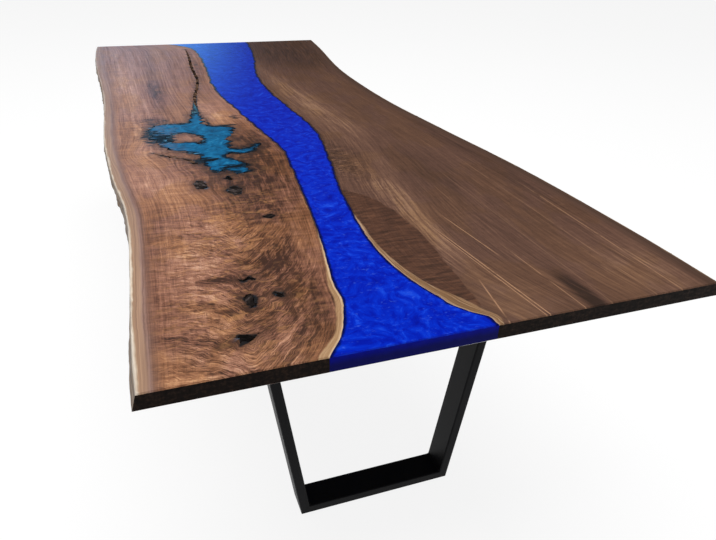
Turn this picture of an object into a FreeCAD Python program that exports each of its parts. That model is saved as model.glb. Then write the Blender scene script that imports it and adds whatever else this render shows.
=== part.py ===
import FreeCAD, Part
import math
import os
import Sketcher

# Live edge dining table: two walnut slabs and a resin river on two welded steel leg frames.
# Millimetres. X runs across the table, Y along it from the near end to the far end, Z up from the floor.
# The origin is on the floor under the middle of the top.

Vector = FreeCAD.Vector

doc = FreeCAD.newDocument("live_edge_table")
sizes = doc.addObject("Spreadsheet::Sheet", "sizes")

# Driving dimensions: name, value, meaning
driving_dimensions = [
    ("table_length", 2743, "top from cut end to cut end"),
    ("table_height", 762, "floor to the top face"),
    ("top_width", 1090, "between the nominal lines of the two live edges"),
    ("slab_thickness", 32, "slabs and river"),
    ("live_edge_lean", 9, "how far a live edge stands out at the underside"),
    ("edge_ease", 2, "chamfer along the cut ends"),
    ("pool_station", 42.7, "middle of the pool, percent of the length"),
    ("pool_offset", 272, "middle of the pool, left of the centre line"),
    ("pool_length", 655, "pool along the table"),
    ("pool_width", 310, "pool across the table"),
    ("pool_floor", 8, "wood left under the pool"),
    ("crack_width", 12, "filled cracks along their run"),
    ("crack_tip", 3, "filled cracks at their ends"),
    ("crack_depth", 10, "filled cracks"),
    ("knot_depth", 12, "filled knots"),
    ("leg_inset", 340, "cut end to the outer face of a leg frame"),
    ("frame_top_width", 638, "outside of the posts at the mounting plate"),
    ("frame_foot_width", 414, "outside of the posts at the underside of the rail"),
    ("tube_width", 76, "tube along the table"),
    ("tube_depth", 25, "tube in the plane of the frame"),
    ("tube_wall", 3, "tube wall"),
    ("tube_corner", 4, "outer corner radius of the tube"),
    ("plate_width", 100, "mounting plate along the table"),
    ("plate_margin", 20, "mounting plate past the posts"),
    ("plate_thickness", 6, "mounting plate"),
    ("plate_corner", 10, "corner radius of the mounting plate"),
    ("inner_bolt_column", 200, "centre line to the inner bolts"),
    ("outer_bolt_column", 260, "centre line to the outer bolts"),
    ("bolt_row_spacing", 64, "between the two rows of bolts"),
    ("bolt_diameter", 8, "shank of the plate bolts"),
    ("bolt_head_across", 13, "hexagon head across the flats"),
    ("bolt_head_height", 5.3, "hexagon head"),
    ("bolt_engagement", 14, "length of bolt inside its insert"),
    ("slot_clearance", 1, "slot past the bolt on each side"),
    ("slot_travel", 12, "room for the wood to move along a slot"),
    ("washer_diameter", 18, "washer"),
    ("washer_thickness", 1.6, "washer"),
    ("insert_diameter", 12, "threaded insert in the wood"),
    ("insert_length", 18, "threaded insert in the wood"),
    ("thread_clearance", 0.05, "between a thread and its nut, on the radius"),
    ("rail_lift", 12, "floor to the underside of the rail"),
    ("foot_inset", 50, "end of the rail to the middle of a levelling foot"),
    ("foot_pad_diameter", 40, "pad of a levelling foot"),
    ("foot_pad_height", 6, "pad of a levelling foot"),
    ("foot_pad_ease", 1.5, "chamfer round the pad"),
    ("stud_diameter", 10, "thread of a levelling foot"),
    ("stud_engagement", 17, "stud above the underside of the rail"),
    ("stud_spigot_depth", 3, "stud inside its pad"),
    ("collar_across", 17, "hexagon collar of the stud across the flats"),
    ("nut_diameter", 14, "rivet nut in the rail"),
    ("nut_length", 14, "rivet nut above the underside of the rail"),
    ("nut_flange_diameter", 19, "flange of the rivet nut"),
    ("nut_flange_thickness", 1.5, "flange of the rivet nut"),
]

# Table of offsets of the top's outlines. Each row has a station, in percent of the length from the near end,
# then the left live edge outside its nominal line, the river's left and right banks from the centre line, and
# the right live edge outside its nominal line.
outline_names = ("station", "left_live", "left_bank", "right_bank", "right_live")
outline_rows = [
    (0, 0, -242, 60, 14),
    (2, 0, -206, 30, 15),
    (4.5, -2, -181, -4, 16),
    (8, -6, -173, -33, 16),
    (13, -12, -145, -43, 11),
    (19, -21, -119, -24, 5),
    (25, -24, -102, -2, -6),
    (31, -2, -81, 31, -24),
    (37, 6, -60, 65, -47),
    (43, 12, -86, 88, -64),
    (50, 10, -104, 75, -89),
    (58, 0, -128, 61, -100),
    (66, -2, -145, 52, -101),
    (74, 7, -123, 74, -95),
    (83, 17, -106, 127, -63),
    (92, 16, -101, 166, -29),
    (97, 10, -112, 174, -18),
    (100, 4, -215, 181, -11),
]

# Filled knots of the left slab: station in percent, offset from the centre line, length and width
knot_names = ("knot_station", "knot_offset", "knot_length", "knot_width")
knot_rows = [
    (28.8, -337, 70, 35),
    (26.8, -260, 60, 40),
    (29.9, -262, 25, 20),
    (10.3, -323, 15, 35),
    (7.5, -333, 50, 20),
    (7.7, -279, 25, 18),
    (3.3, -363, 18, 35),
    (20.4, -215, 20, 30),
]

# Outline of the pool and of the wood island in it, in percent of the pool's width and length from its middle
pool_outline = [
    (7, 50), (-2, 37), (-5, 27), (-12, 25), (-27, 27), (-41, 26), (-50, 20), (-49, 10), (-46, 1),
    (-41, -8), (-32, -15), (-17, -17), (-10, -21), (-11, -29), (-8, -37), (-7, -45), (1, -46), (5, -41),
    (8, -43), (11, -48), (18, -50), (25, -47), (27, -39), (22, -34), (11, -30), (10, -26), (17, -22),
    (25, -25), (36, -25), (45, -20), (50, -12), (44, -13), (37, -19), (26, -20), (20, -17), (20, -9),
    (24, -3), (29, 4), (32, 8), (36, 14), (28, 17), (14, 18), (7, 21), (6, 27), (10, 36),
]
island_outline = [
    (-35, 5), (-28, 11), (-12, 11), (-4, 6), (2, 3), (0, -3), (-5, -8), (-11, -4), (-24, -3), (-34, -2),
]

# Middle lines of the filled cracks of the left slab: station in percent, offset from the centre line
cracks = {
    "long_crack": [
        (55.8, -243), (59, -238), (62, -228), (65.6, -202), (72.2, -174), (76.6, -181), (85.7, -160),
        (89.5, -151), (94.5, -147),
    ],
    "side_crack": [(39, -430), (37.6, -395), (36.8, -355), (35.9, -338), (34.6, -324), (34.2, -314)],
}


def write_cells(column, names, rows):
    """Writes rows of numbers as cells with aliases such as left_live_3."""
    for row, numbers in enumerate(rows, start=1):
        for shift, (name, number) in enumerate(zip(names, numbers)):
            cell = f"{chr(ord(column) + shift)}{row}"
            sizes.set(cell, str(number))
            sizes.setAlias(cell, f"{name}_{row}")


for row, (name, number, meaning) in enumerate(driving_dimensions, start=1):
    sizes.set(f"A{row}", name)
    sizes.set(f"B{row}", str(number))
    sizes.setAlias(f"B{row}", name)
    sizes.set(f"C{row}", meaning)
write_cells("E", outline_names, outline_rows)
write_cells("K", knot_names, knot_rows)
for column, (crack, rows) in zip("PS", cracks.items()):
    write_cells(column, (f"{crack}_station", f"{crack}_offset"), rows)
doc.recompute()

# Expressions that several pieces share
top_face = "sizes.table_height"
underside = "(sizes.table_height - sizes.slab_thickness)"
post_top = "(sizes.table_height - sizes.slab_thickness - sizes.plate_thickness)"
rail_bottom = "sizes.rail_lift"
rail_top = "(sizes.rail_lift + sizes.tube_depth)"
frame_middle = "(sizes.table_length / 2 - sizes.leg_inset - sizes.tube_width / 2)"
foot_middle = "(sizes.frame_foot_width / 2 - sizes.foot_inset)"
post_lean = f"((sizes.frame_top_width - sizes.frame_foot_width) / 2 / ({post_top} - {rail_bottom}))"
post_stretch = f"sqrt(1 + {post_lean} ^ 2)"

frame_sides = {"near": -1, "far": 1}
left_right = {"left": -1, "right": 1}

HEXAGON_CORNERS = 6
KNOT_POLES = 6
KNOT_WOBBLE = 0.16
SPLINE_DEGREE = 3
POLE_MARK_RADIUS = 5
TOLERANCE = 0.01


def new_body(label):
    body = doc.addObject("PartDesign::Body", label)
    body.Label = label
    return body


def new_sketch(body, name, plane="XY_Plane", height="0"):
    """Adds a sketch on one of the body's own planes, moved along its normal by an expression."""
    sketch = body.newObject("Sketcher::SketchObject", name)
    support = [item for item in body.Origin.OriginFeatures if item.Role == plane][0]
    sketch.AttachmentSupport = [(support, "")]
    sketch.MapMode = "FlatFace"
    sketch.setExpression("AttachmentOffset.Base.z", height)
    return sketch


def value(item, expression):
    return float(item.evalExpression(expression))


def constrain(sketch, links, dimensions):
    """Adds constraints in one go: plain ones, then dimensions that are tied to expressions."""
    constraints = list(links)
    for kind, references, expression in dimensions:
        constraints.append(Sketcher.Constraint(kind, *references, value(sketch, expression)))
    indices = sketch.addConstraint(constraints)
    for index, (kind, references, expression) in zip(indices[len(links):], dimensions):
        sketch.setExpression(f"Constraints[{index}]", expression)


def place_dimensions(geometry, end, place):
    """Dimensions that hold one point of a geometry at a pair of expressions from the sketch's origin."""
    across, along = place
    references = (-1, 1, geometry, end)
    return [("DistanceX", references, across), ("DistanceY", references, along)]


def point(sketch, place):
    return Vector(value(sketch, place[0]), value(sketch, place[1]), 0)


def add_polygon(sketch, places):
    """Draws a closed polygon whose corners are bound to pairs of expressions."""
    corners = [point(sketch, place) for place in places]
    lines = [Part.LineSegment(*ends) for ends in zip(corners, corners[1:] + corners[:1])]
    sides = list(sketch.addGeometry(lines, False))
    links = []
    dimensions = []
    for side, following, place in zip(sides, sides[1:] + sides[:1], places):
        links.append(Sketcher.Constraint("Coincident", side, 2, following, 1))
        dimensions += place_dimensions(side, 1, place)
    constrain(sketch, links, dimensions)


def add_rectangle(sketch, left, right, bottom, top):
    add_polygon(sketch, [(left, bottom), (right, bottom), (right, top), (left, top)])


def add_circle(sketch, place, radius):
    shape = Part.Circle(point(sketch, place), Vector(0, 0, 1), value(sketch, radius))
    circle = sketch.addGeometry(shape, False)
    constrain(sketch, [], place_dimensions(circle, 3, place) + [("Radius", (circle,), radius)])


def add_hexagon(sketch, place, across_flats):
    """Draws a hexagon with two corners on the X axis through its middle."""
    corners = []
    for corner in range(HEXAGON_CORNERS):
        turn = f"{corner * 360 / HEXAGON_CORNERS}deg"
        reach = f"({across_flats}) / 2 / cos(30deg)"
        corners.append((f"{place[0]} + {reach} * cos({turn})", f"{place[1]} + {reach} * sin({turn})"))
    add_polygon(sketch, corners)


def add_slot(sketch, place, radius, travel):
    """Draws a slot along X: two half circles joined by two tangent lines."""
    arcs = []
    dimensions = []
    for side in (-1, 1):
        middle = (f"{place[0]} + {side} * {travel} / 2", place[1])
        start = math.pi / 2 * -side
        whole = Part.Circle(point(sketch, middle), Vector(0, 0, 1), value(sketch, radius))
        arc = sketch.addGeometry(Part.ArcOfCircle(whole, start, start + math.pi), False)
        dimensions += place_dimensions(arc, 3, middle) + [("Radius", (arc,), radius)]
        arcs.append(arc)
    left, right = arcs
    links = []
    for start, finish in (((left, 2), (right, 1)), ((right, 2), (left, 1))):
        shape = Part.LineSegment(sketch.getPoint(*start), sketch.getPoint(*finish))
        line = sketch.addGeometry(shape, False)
        links.append(Sketcher.Constraint("Tangent", *start, line, 1))
        links.append(Sketcher.Constraint("Tangent", line, 2, *finish))
    constrain(sketch, links, dimensions)


def add_spline(sketch, places, closed=False):
    """Draws a B-spline whose control points are bound to pairs of expressions."""
    points = [point(sketch, place) for place in places]
    marks = [Part.Circle(middle, Vector(0, 0, 1), POLE_MARK_RADIUS) for middle in points]
    poles = list(sketch.addGeometry(marks, True))
    shape = Part.BSplineCurve(points, None, None, closed, SPLINE_DEGREE, None, False)
    curve = sketch.addGeometry(shape, False)
    control_point = "InternalAlignment:Sketcher::BSplineControlPoint"
    links = [Sketcher.Constraint("Weight", poles[0], 1.0)]
    dimensions = []
    for index, (pole, place) in enumerate(zip(poles, places)):
        if index > 0:
            links.append(Sketcher.Constraint("Equal", poles[0], pole))
        links.append(Sketcher.Constraint(control_point, pole, 3, curve, index))
        dimensions += place_dimensions(pole, 3, place)
    constrain(sketch, links, dimensions)
    return curve


def join_ends(sketch, first, second):
    """Closes the outline between two splines that run the same way, with a line at each end."""
    links = []
    for end in (1, 2):
        segment = Part.LineSegment(sketch.getPoint(first, end), sketch.getPoint(second, end))
        line = sketch.addGeometry(segment, False)
        links.append(Sketcher.Constraint("Coincident", line, 1, first, end))
        links.append(Sketcher.Constraint("Coincident", line, 2, second, end))
    constrain(sketch, links, [])


def pad(body, sketch, length, symmetric=False, downwards=False):
    feature = body.newObject("PartDesign::Pad", f"{sketch.Name}_pad")
    feature.Profile = sketch
    feature.SideType = "Symmetric" if symmetric else "One side"
    feature.Reversed = downwards
    feature.setExpression("Length", length)
    return feature


def pocket(body, sketch, depth, symmetric=False, upwards=False):
    """Cuts a sketch out of the body, and stops if the cut misses the material."""
    doc.recompute()
    material = body.Shape.copy()
    feature = body.newObject("PartDesign::Pocket", f"{sketch.Name}_pocket")
    feature.Profile = sketch
    feature.SideType = "Symmetric" if symmetric else "One side"
    feature.Reversed = upwards
    feature.setExpression("Length", depth)
    doc.recompute()
    cutter = feature.AddSubShape.copy()
    cutter.Placement = feature.Placement.multiply(cutter.Placement)
    if material.common(cutter).Volume < TOLERANCE:
        raise RuntimeError(f"{feature.Name} cuts nothing")


def edges_where(body, test):
    """Names the edges of the body's shape that pass a test."""
    doc.recompute()
    return [f"Edge{index}" for index, edge in enumerate(body.Shape.Edges, start=1) if test(edge)]


def ease(body, kind, size_name, expression, test):
    """Adds a fillet or a chamfer along the edges that pass a test."""
    names = edges_where(body, test)
    base = body.Tip
    feature = body.newObject(f"PartDesign::{kind}", f"{body.Name}_{kind.lower()}")
    feature.Base = (base, names)
    feature.setExpression(size_name, expression)
    return feature


def is_line_along(edge, direction):
    if edge.Curve.TypeId != "Part::GeomLine":
        return False
    return abs(edge.Curve.Direction.dot(direction)) > 1 - TOLERANCE


def station_y(percent):
    return f"sizes.table_length * ({percent} / 100 - 0.5)"


def outline_places(name, lean="0"):
    """Control points of one outline of the top, from the table of offsets."""
    places = []
    for row in range(1, len(outline_rows) + 1):
        offset = {
            "left_live": f"-(sizes.top_width / 2 + sizes.left_live_{row} + {lean})",
            "right_live": f"sizes.top_width / 2 + sizes.right_live_{row} + {lean}",
            "left_bank": f"sizes.left_bank_{row}",
            "right_bank": f"sizes.right_bank_{row}",
        }[name]
        places.append((offset, station_y(f"sizes.station_{row}")))
    return places


def ease_cut_ends(body):
    """Takes a small wedge off the long edges of the two cut ends."""
    wedges = new_sketch(body, f"{body.Name}_end_wedges", "YZ_Plane")
    for end in (-1, 1):
        cut_end = f"{end} * sizes.table_length / 2"
        inside = f"{end} * (sizes.table_length / 2 - sizes.edge_ease)"
        for face, into_wood in ((top_face, "-"), (underside, "+")):
            corner = (cut_end, face)
            add_polygon(wedges, [corner, (inside, face), (cut_end, f"{face} {into_wood} sizes.edge_ease")])
    pocket(body, wedges, "2 * sizes.top_width", symmetric=True)


def bolt_places(side_names=("left", "right"), middle="0"):
    """Middles of a leg frame's bolts on one side or both, with the frame's middle at a given Y."""
    places = []
    for side_name in side_names:
        for column in ("inner", "outer"):
            for row in (-1, 1):
                across = f"{left_right[side_name]} * sizes.{column}_bolt_column"
                places.append((across, f"{middle} + {row} * sizes.bolt_row_spacing / 2"))
    return places


def make_slab(side_name):
    """Lofts a slab from its top outline to its wider underside and drills it for the threaded inserts."""
    label = f"{side_name}_slab"
    body = new_body(label)
    outlines = []
    for name, height, lean in (("top", top_face, "0"), ("underside", underside, "sizes.live_edge_lean")):
        sketch = new_sketch(body, f"{label}_{name}", height=height)
        borders = [outline_places(f"{side_name}_live", lean), outline_places(f"{side_name}_bank")]
        if side_name == "right":
            borders.reverse()
        join_ends(sketch, *[add_spline(sketch, border) for border in borders])
        outlines.append(sketch)
    loft = body.newObject("PartDesign::AdditiveLoft", f"{label}_loft")
    loft.Profile = outlines[0]
    loft.Sections = outlines[1:]
    loft.Ruled = True
    ease_cut_ends(body)

    drill = new_sketch(body, f"{label}_insert_holes", height=underside)
    for frame_side in frame_sides.values():
        for place in bolt_places((side_name,), f"{frame_side} * {frame_middle}"):
            add_circle(drill, place, "sizes.insert_diameter / 2")
    pocket(body, drill, "sizes.insert_length", upwards=True)
    return body


def make_river():
    body = new_body("river_casting")
    sketch = new_sketch(body, "river_outline", height=underside)
    left = add_spline(sketch, outline_places("left_bank"))
    right = add_spline(sketch, outline_places("right_bank"))
    join_ends(sketch, left, right)
    pad(body, sketch, "sizes.slab_thickness")
    ease_cut_ends(body)


def draw_pool(sketch):
    for outline in (pool_outline, island_outline):
        places = []
        for across, along in outline:
            x = f"-sizes.pool_offset + sizes.pool_width * {across} / 100"
            y = f"{station_y('sizes.pool_station')} + sizes.pool_length * {along} / 100"
            places.append((x, y))
        add_spline(sketch, places, closed=True)


def draw_cracks(sketch):
    """Draws each crack as two banks either side of its middle line, closer together at the tips."""
    for crack, rows in cracks.items():
        banks = []
        for side in (-1, 1):
            places = []
            for row in range(1, len(rows) + 1):
                width = "sizes.crack_tip" if row in (1, len(rows)) else "sizes.crack_width"
                across = f"sizes.{crack}_offset_{row} + {side} * {width} / 2"
                places.append((across, station_y(f"sizes.{crack}_station_{row}")))
            banks.append(add_spline(sketch, places))
        join_ends(sketch, *banks)


def draw_knots(sketch):
    """Draws each knot as a slightly uneven oval."""
    for row in range(1, len(knot_rows) + 1):
        places = []
        for pole in range(KNOT_POLES):
            turn = 2 * math.pi * pole / KNOT_POLES
            swell = 1 + KNOT_WOBBLE * math.cos(3 * turn + row)
            x = f"sizes.knot_offset_{row} + sizes.knot_width_{row} / 2 * {swell * math.cos(turn):.3f}"
            y = f"sizes.knot_length_{row} / 2 * {swell * math.sin(turn):.3f}"
            places.append((x, f"{station_y(f'sizes.knot_station_{row}')} + {y}"))
        add_spline(sketch, places, closed=True)


def make_fill(slab, label, draw, depth):
    """Cuts a blind void into the slab's top face and fills it with resin of the same outline."""
    cut = new_sketch(slab, f"{label}_void", height=top_face)
    draw(cut)
    pocket(slab, cut, depth)
    body = new_body(label)
    sketch = new_sketch(body, f"{label}_outline", height=top_face)
    draw(sketch)
    pad(body, sketch, depth, downwards=True)


def place_on_frame(body, side):
    body.setExpression("Placement.Base.y", f"{side} * {frame_middle}")


def round_tube(body, direction):
    """Rounds the long outer edges of a tube."""
    half_width = value(sizes, "sizes.tube_width / 2")

    def is_outer(edge):
        outside = abs(abs(edge.CenterOfMass.y) - half_width) < TOLERANCE
        return outside and is_line_along(edge, direction)

    ease(body, "Fillet", "Radius", "sizes.tube_corner", is_outer)


def make_post(frame, side_name):
    """A leaning tube, cut level at the plate and mitred at the rail."""
    body = new_body(f"{frame}_{side_name}_post")
    side = left_right[side_name]
    foot = "sizes.frame_foot_width / 2"
    top = "sizes.frame_top_width / 2"
    mitre_shift = f"{post_lean} * sizes.tube_depth"

    def across(reach, inwards):
        return f"{side} * ({reach} - {inwards} * {post_stretch})"

    outline = new_sketch(body, f"{body.Name}_outline", "XZ_Plane")
    add_polygon(outline, [
        (across(foot, "0"), rail_bottom),
        (across(top, "0"), post_top),
        (across(top, "sizes.tube_depth"), post_top),
        (across(f"{foot} + {mitre_shift}", "sizes.tube_depth"), rail_top),
    ])
    pad(body, outline, "sizes.tube_width", symmetric=True)
    doc.recompute()
    lean = Vector(side * value(sizes, post_lean), 0, 1).normalize()
    round_tube(body, lean)

    cavity = new_sketch(body, f"{body.Name}_cavity", "XZ_Plane")
    far_wall = "(sizes.tube_depth - sizes.tube_wall)"
    add_polygon(cavity, [
        (across(foot, "sizes.tube_wall"), rail_bottom),
        (across(top, "sizes.tube_wall"), post_top),
        (across(top, far_wall), post_top),
        (across(foot, far_wall), rail_bottom),
    ])
    pocket(body, cavity, "sizes.tube_width - 2 * sizes.tube_wall", symmetric=True)
    place_on_frame(body, frame_sides[frame])


def make_rail(frame):
    """The bottom tube, mitred to both posts and holed underneath for the rivet nuts."""
    body = new_body(f"{frame}_foot_rail")
    long_half = "sizes.frame_foot_width / 2"
    short_half = f"({long_half} + {post_lean} * sizes.tube_depth - sizes.tube_depth * {post_stretch})"
    outline = new_sketch(body, f"{body.Name}_outline", "XZ_Plane")
    add_polygon(outline, [
        (f"-{long_half}", rail_bottom),
        (long_half, rail_bottom),
        (short_half, rail_top),
        (f"-{short_half}", rail_top),
    ])
    pad(body, outline, "sizes.tube_width", symmetric=True)
    round_tube(body, Vector(1, 0, 0))

    cavity = new_sketch(body, f"{body.Name}_cavity", "XZ_Plane")
    add_rectangle(
        cavity, f"-{long_half}", long_half,
        f"{rail_bottom} + sizes.tube_wall", f"{rail_top} - sizes.tube_wall",
    )
    pocket(body, cavity, "sizes.tube_width - 2 * sizes.tube_wall", symmetric=True)

    holes = new_sketch(body, f"{body.Name}_nut_holes", height=rail_bottom)
    for side in left_right.values():
        add_circle(holes, (f"{side} * {foot_middle}", "0"), "sizes.nut_diameter / 2")
    pocket(body, holes, "sizes.tube_wall", upwards=True)
    place_on_frame(body, frame_sides[frame])


def make_plate(frame):
    body = new_body(f"{frame}_mounting_plate")
    half_length = "(sizes.frame_top_width / 2 + sizes.plate_margin)"
    outline = new_sketch(body, f"{body.Name}_outline", height=post_top)
    add_rectangle(outline, f"-{half_length}", half_length, "-sizes.plate_width / 2", "sizes.plate_width / 2")
    pad(body, outline, "sizes.plate_thickness")
    ease(body, "Fillet", "Radius", "sizes.plate_corner", lambda edge: is_line_along(edge, Vector(0, 0, 1)))
    slots = new_sketch(body, f"{body.Name}_slots", height=post_top)
    for place in bolt_places():
        add_slot(slots, place, "sizes.bolt_diameter / 2 + sizes.slot_clearance", "sizes.slot_travel")
    pocket(body, slots, "sizes.plate_thickness", upwards=True)
    place_on_frame(body, frame_sides[frame])


def make_rings(label, places, height, length, outer_radius, inner_radius, side):
    """A group of plain rings, such as washers, one at each place."""
    body = new_body(label)
    sketch = new_sketch(body, f"{label}_rings", height=height)
    for place in places:
        add_circle(sketch, place, outer_radius)
        add_circle(sketch, place, inner_radius)
    pad(body, sketch, length)
    place_on_frame(body, side)
    return body


def make_bolts(frame):
    """Eight hexagon bolts, heads down, that go up through washer, plate and insert."""
    body = new_body(f"{frame}_bolts")
    seat = f"({post_top} - sizes.washer_thickness)"
    heads = new_sketch(body, f"{body.Name}_heads", height=seat)
    for place in bolt_places():
        add_hexagon(heads, place, "sizes.bolt_head_across")
    pad(body, heads, "sizes.bolt_head_height", downwards=True)
    shanks = new_sketch(body, f"{body.Name}_shanks", height=seat)
    for place in bolt_places():
        add_circle(shanks, place, "sizes.bolt_diameter / 2")
    pad(body, shanks, "sizes.washer_thickness + sizes.plate_thickness + sizes.bolt_engagement")
    place_on_frame(body, frame_sides[frame])


def make_rivet_nuts(frame):
    """Two threaded nuts whose flanges lie against the underside of the rail."""
    places = [(f"{side} * {foot_middle}", "0") for side in left_right.values()]
    bore = "sizes.stud_diameter / 2 + sizes.thread_clearance"
    body = make_rings(
        f"{frame}_rivet_nuts", places, rail_bottom, "sizes.nut_length",
        "sizes.nut_diameter / 2", bore, frame_sides[frame],
    )
    flanges = new_sketch(body, f"{body.Name}_flanges", height=rail_bottom)
    for place in places:
        add_circle(flanges, place, "sizes.nut_flange_diameter / 2")
        add_circle(flanges, place, bore)
    pad(body, flanges, "sizes.nut_flange_thickness", downwards=True)


def place_foot(body, frame, side_name):
    body.setExpression("Placement.Base.x", f"{left_right[side_name]} * {foot_middle}")
    place_on_frame(body, frame_sides[frame])


def make_foot(frame, side_name):
    """A levelling foot, screwed fully in: a threaded stud with a hexagon collar, and the pad it stands on."""
    centre = ("0", "0")
    pad_top = "sizes.foot_pad_height"
    collar_top = "(sizes.rail_lift - sizes.nut_flange_thickness)"

    stud = new_body(f"{frame}_{side_name}_foot_stud")
    collar = new_sketch(stud, f"{stud.Name}_collar", height=pad_top)
    add_hexagon(collar, centre, "sizes.collar_across")
    pad(stud, collar, f"{collar_top} - {pad_top}")
    shank = new_sketch(stud, f"{stud.Name}_shank", height=collar_top)
    add_circle(shank, centre, "sizes.stud_diameter / 2")
    pad(stud, shank, "sizes.nut_flange_thickness + sizes.stud_engagement")
    spigot = new_sketch(stud, f"{stud.Name}_spigot", height=pad_top)
    add_circle(spigot, centre, "sizes.stud_diameter / 2")
    pad(stud, spigot, "sizes.stud_spigot_depth", downwards=True)
    place_foot(stud, frame, side_name)

    foot_pad = new_body(f"{frame}_{side_name}_foot_pad")
    disc = new_sketch(foot_pad, f"{foot_pad.Name}_disc")
    add_circle(disc, centre, "sizes.foot_pad_diameter / 2")
    pad(foot_pad, disc, pad_top)
    ease(
        foot_pad, "Chamfer", "Size", "sizes.foot_pad_ease",
        lambda edge: edge.Curve.TypeId == "Part::GeomCircle",
    )
    socket = new_sketch(foot_pad, f"{foot_pad.Name}_socket", height=pad_top)
    add_circle(socket, centre, "sizes.stud_diameter / 2 + sizes.thread_clearance")
    pocket(foot_pad, socket, "sizes.stud_spigot_depth")
    place_foot(foot_pad, frame, side_name)


def make_frame(frame):
    side = frame_sides[frame]
    make_plate(frame)
    for side_name in left_right:
        make_post(frame, side_name)
    make_rail(frame)
    make_bolts(frame)
    make_rings(
        f"{frame}_washers", bolt_places(), f"{post_top} - sizes.washer_thickness", "sizes.washer_thickness",
        "sizes.washer_diameter / 2", "sizes.bolt_diameter / 2 + sizes.thread_clearance", side,
    )
    make_rings(
        f"{frame}_wood_inserts", bolt_places(), underside, "sizes.insert_length",
        "sizes.insert_diameter / 2", "sizes.bolt_diameter / 2 + sizes.thread_clearance", side,
    )
    make_rivet_nuts(frame)
    for side_name in left_right:
        make_foot(frame, side_name)


left_slab = make_slab("left")
make_slab("right")
make_river()
make_fill(left_slab, "pool_casting", draw_pool, "sizes.slab_thickness - sizes.pool_floor")
make_fill(left_slab, "crack_fills", draw_cracks, "sizes.crack_depth")
make_fill(left_slab, "knot_fills", draw_knots, "sizes.knot_depth")
for frame in frame_sides:
    make_frame(frame)

# Nothing is written unless every object is sound
doc.recompute()
for item in doc.Objects:
    if "Invalid" in item.State or "Error" in item.State:
        raise RuntimeError(f"{item.Label} failed: {item.State}")
sub_parts = [item for item in doc.Objects if item.TypeId == "PartDesign::Body"]
os.makedirs("parts", exist_ok=True)
for item in sub_parts:
    if item.Shape.isNull() or not item.Shape.isValid():
        raise RuntimeError(f"{item.Label} has no valid shape")
for item in sub_parts:
    item.Shape.exportStep(f"parts/{item.Label}.step")
    print(f"{item.Label}: {len(item.Shape.Solids)} solids, {item.Shape.Volume / 1000:.1f} cm3")
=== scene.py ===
# %% [markdown]
# # A river dining table
# Two live edge walnut slabs lie either side of a river of blue pearl resin, on two leg frames of black steel.
# The CAD model gives every part its place and size. This lesson copies the pieces that need a finer surface,
# gives every part its finish, and sets up the studio, one cell at a time.

# %% Load the frame
import bpy
import math
import numpy as np
from mathutils import Matrix, Vector


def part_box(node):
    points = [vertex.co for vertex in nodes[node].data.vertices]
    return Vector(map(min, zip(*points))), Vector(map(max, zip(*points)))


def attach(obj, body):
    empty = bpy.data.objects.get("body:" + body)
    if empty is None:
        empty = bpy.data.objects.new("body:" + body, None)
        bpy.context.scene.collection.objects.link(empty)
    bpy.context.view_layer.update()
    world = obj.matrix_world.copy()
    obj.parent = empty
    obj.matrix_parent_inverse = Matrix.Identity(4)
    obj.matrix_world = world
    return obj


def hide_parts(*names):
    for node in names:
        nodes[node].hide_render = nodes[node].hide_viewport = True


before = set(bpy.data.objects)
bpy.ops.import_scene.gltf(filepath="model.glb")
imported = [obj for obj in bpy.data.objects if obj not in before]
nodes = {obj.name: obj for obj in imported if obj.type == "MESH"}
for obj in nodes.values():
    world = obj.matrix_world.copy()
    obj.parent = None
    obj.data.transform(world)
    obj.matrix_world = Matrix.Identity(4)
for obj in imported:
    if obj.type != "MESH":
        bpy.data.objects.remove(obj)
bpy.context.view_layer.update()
table_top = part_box("left_slab")[1].z
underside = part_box("left_slab")[0].z
near_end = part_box("left_slab")[0].y
far_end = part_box("left_slab")[1].y
# Heights closer than this count as the same.
hair = 0.00001
print("nodes", len(nodes), "top face at", round(table_top, 4))

# %% [markdown]
# ## The camera
# The picture was taken from past the near left corner, at chest height, with a wide lens. The camera could be
# dragged into place by eye. Its place and three angles were instead worked out from the corners of the top
# and the leg frame, so the model falls on the same pixels.

# %% Place the camera
camera_place, lens_length, film_width = (-0.51552, -2.17539, 1.3869), 32.997, 36
heading, dip, roll = math.radians(21.05), math.radians(28.81), math.radians(1.96)
level_forward = Vector((math.sin(heading), math.cos(heading), 0))
level_right = Vector((math.cos(heading), -math.sin(heading), 0))
forward = level_forward * math.cos(dip) - Vector((0, 0, 1)) * math.sin(dip)
upward = Vector((0, 0, 1)) * math.cos(dip) + level_forward * math.sin(dip)
camera_right = level_right * math.cos(roll) + upward * math.sin(roll)
camera_up = upward * math.cos(roll) - level_right * math.sin(roll)

bpy.ops.object.camera_add()
camera = bpy.context.object
camera.name = "studio_camera"
turn = Matrix((camera_right, camera_up, -forward)).transposed()
camera.matrix_world = Matrix.Translation(camera_place) @ turn.to_4x4()
camera.data.sensor_width = film_width
camera.data.lens = lens_length
camera.data.dof.use_dof = False
bpy.context.scene.camera = camera
print("camera at", [round(value, 3) for value in camera.location])

# %% [markdown]
# ## Lines of the top
# Four lines rule the whole top: two natural outer edges and two river banks. Grain, sapwood and stains all
# follow them. They could be typed in again, but the CAD nodes already hold them, so they are read off the
# upper rims of the node walls.

# %% Read the four lines
line_stations = np.linspace(near_end, far_end, 915)


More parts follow.
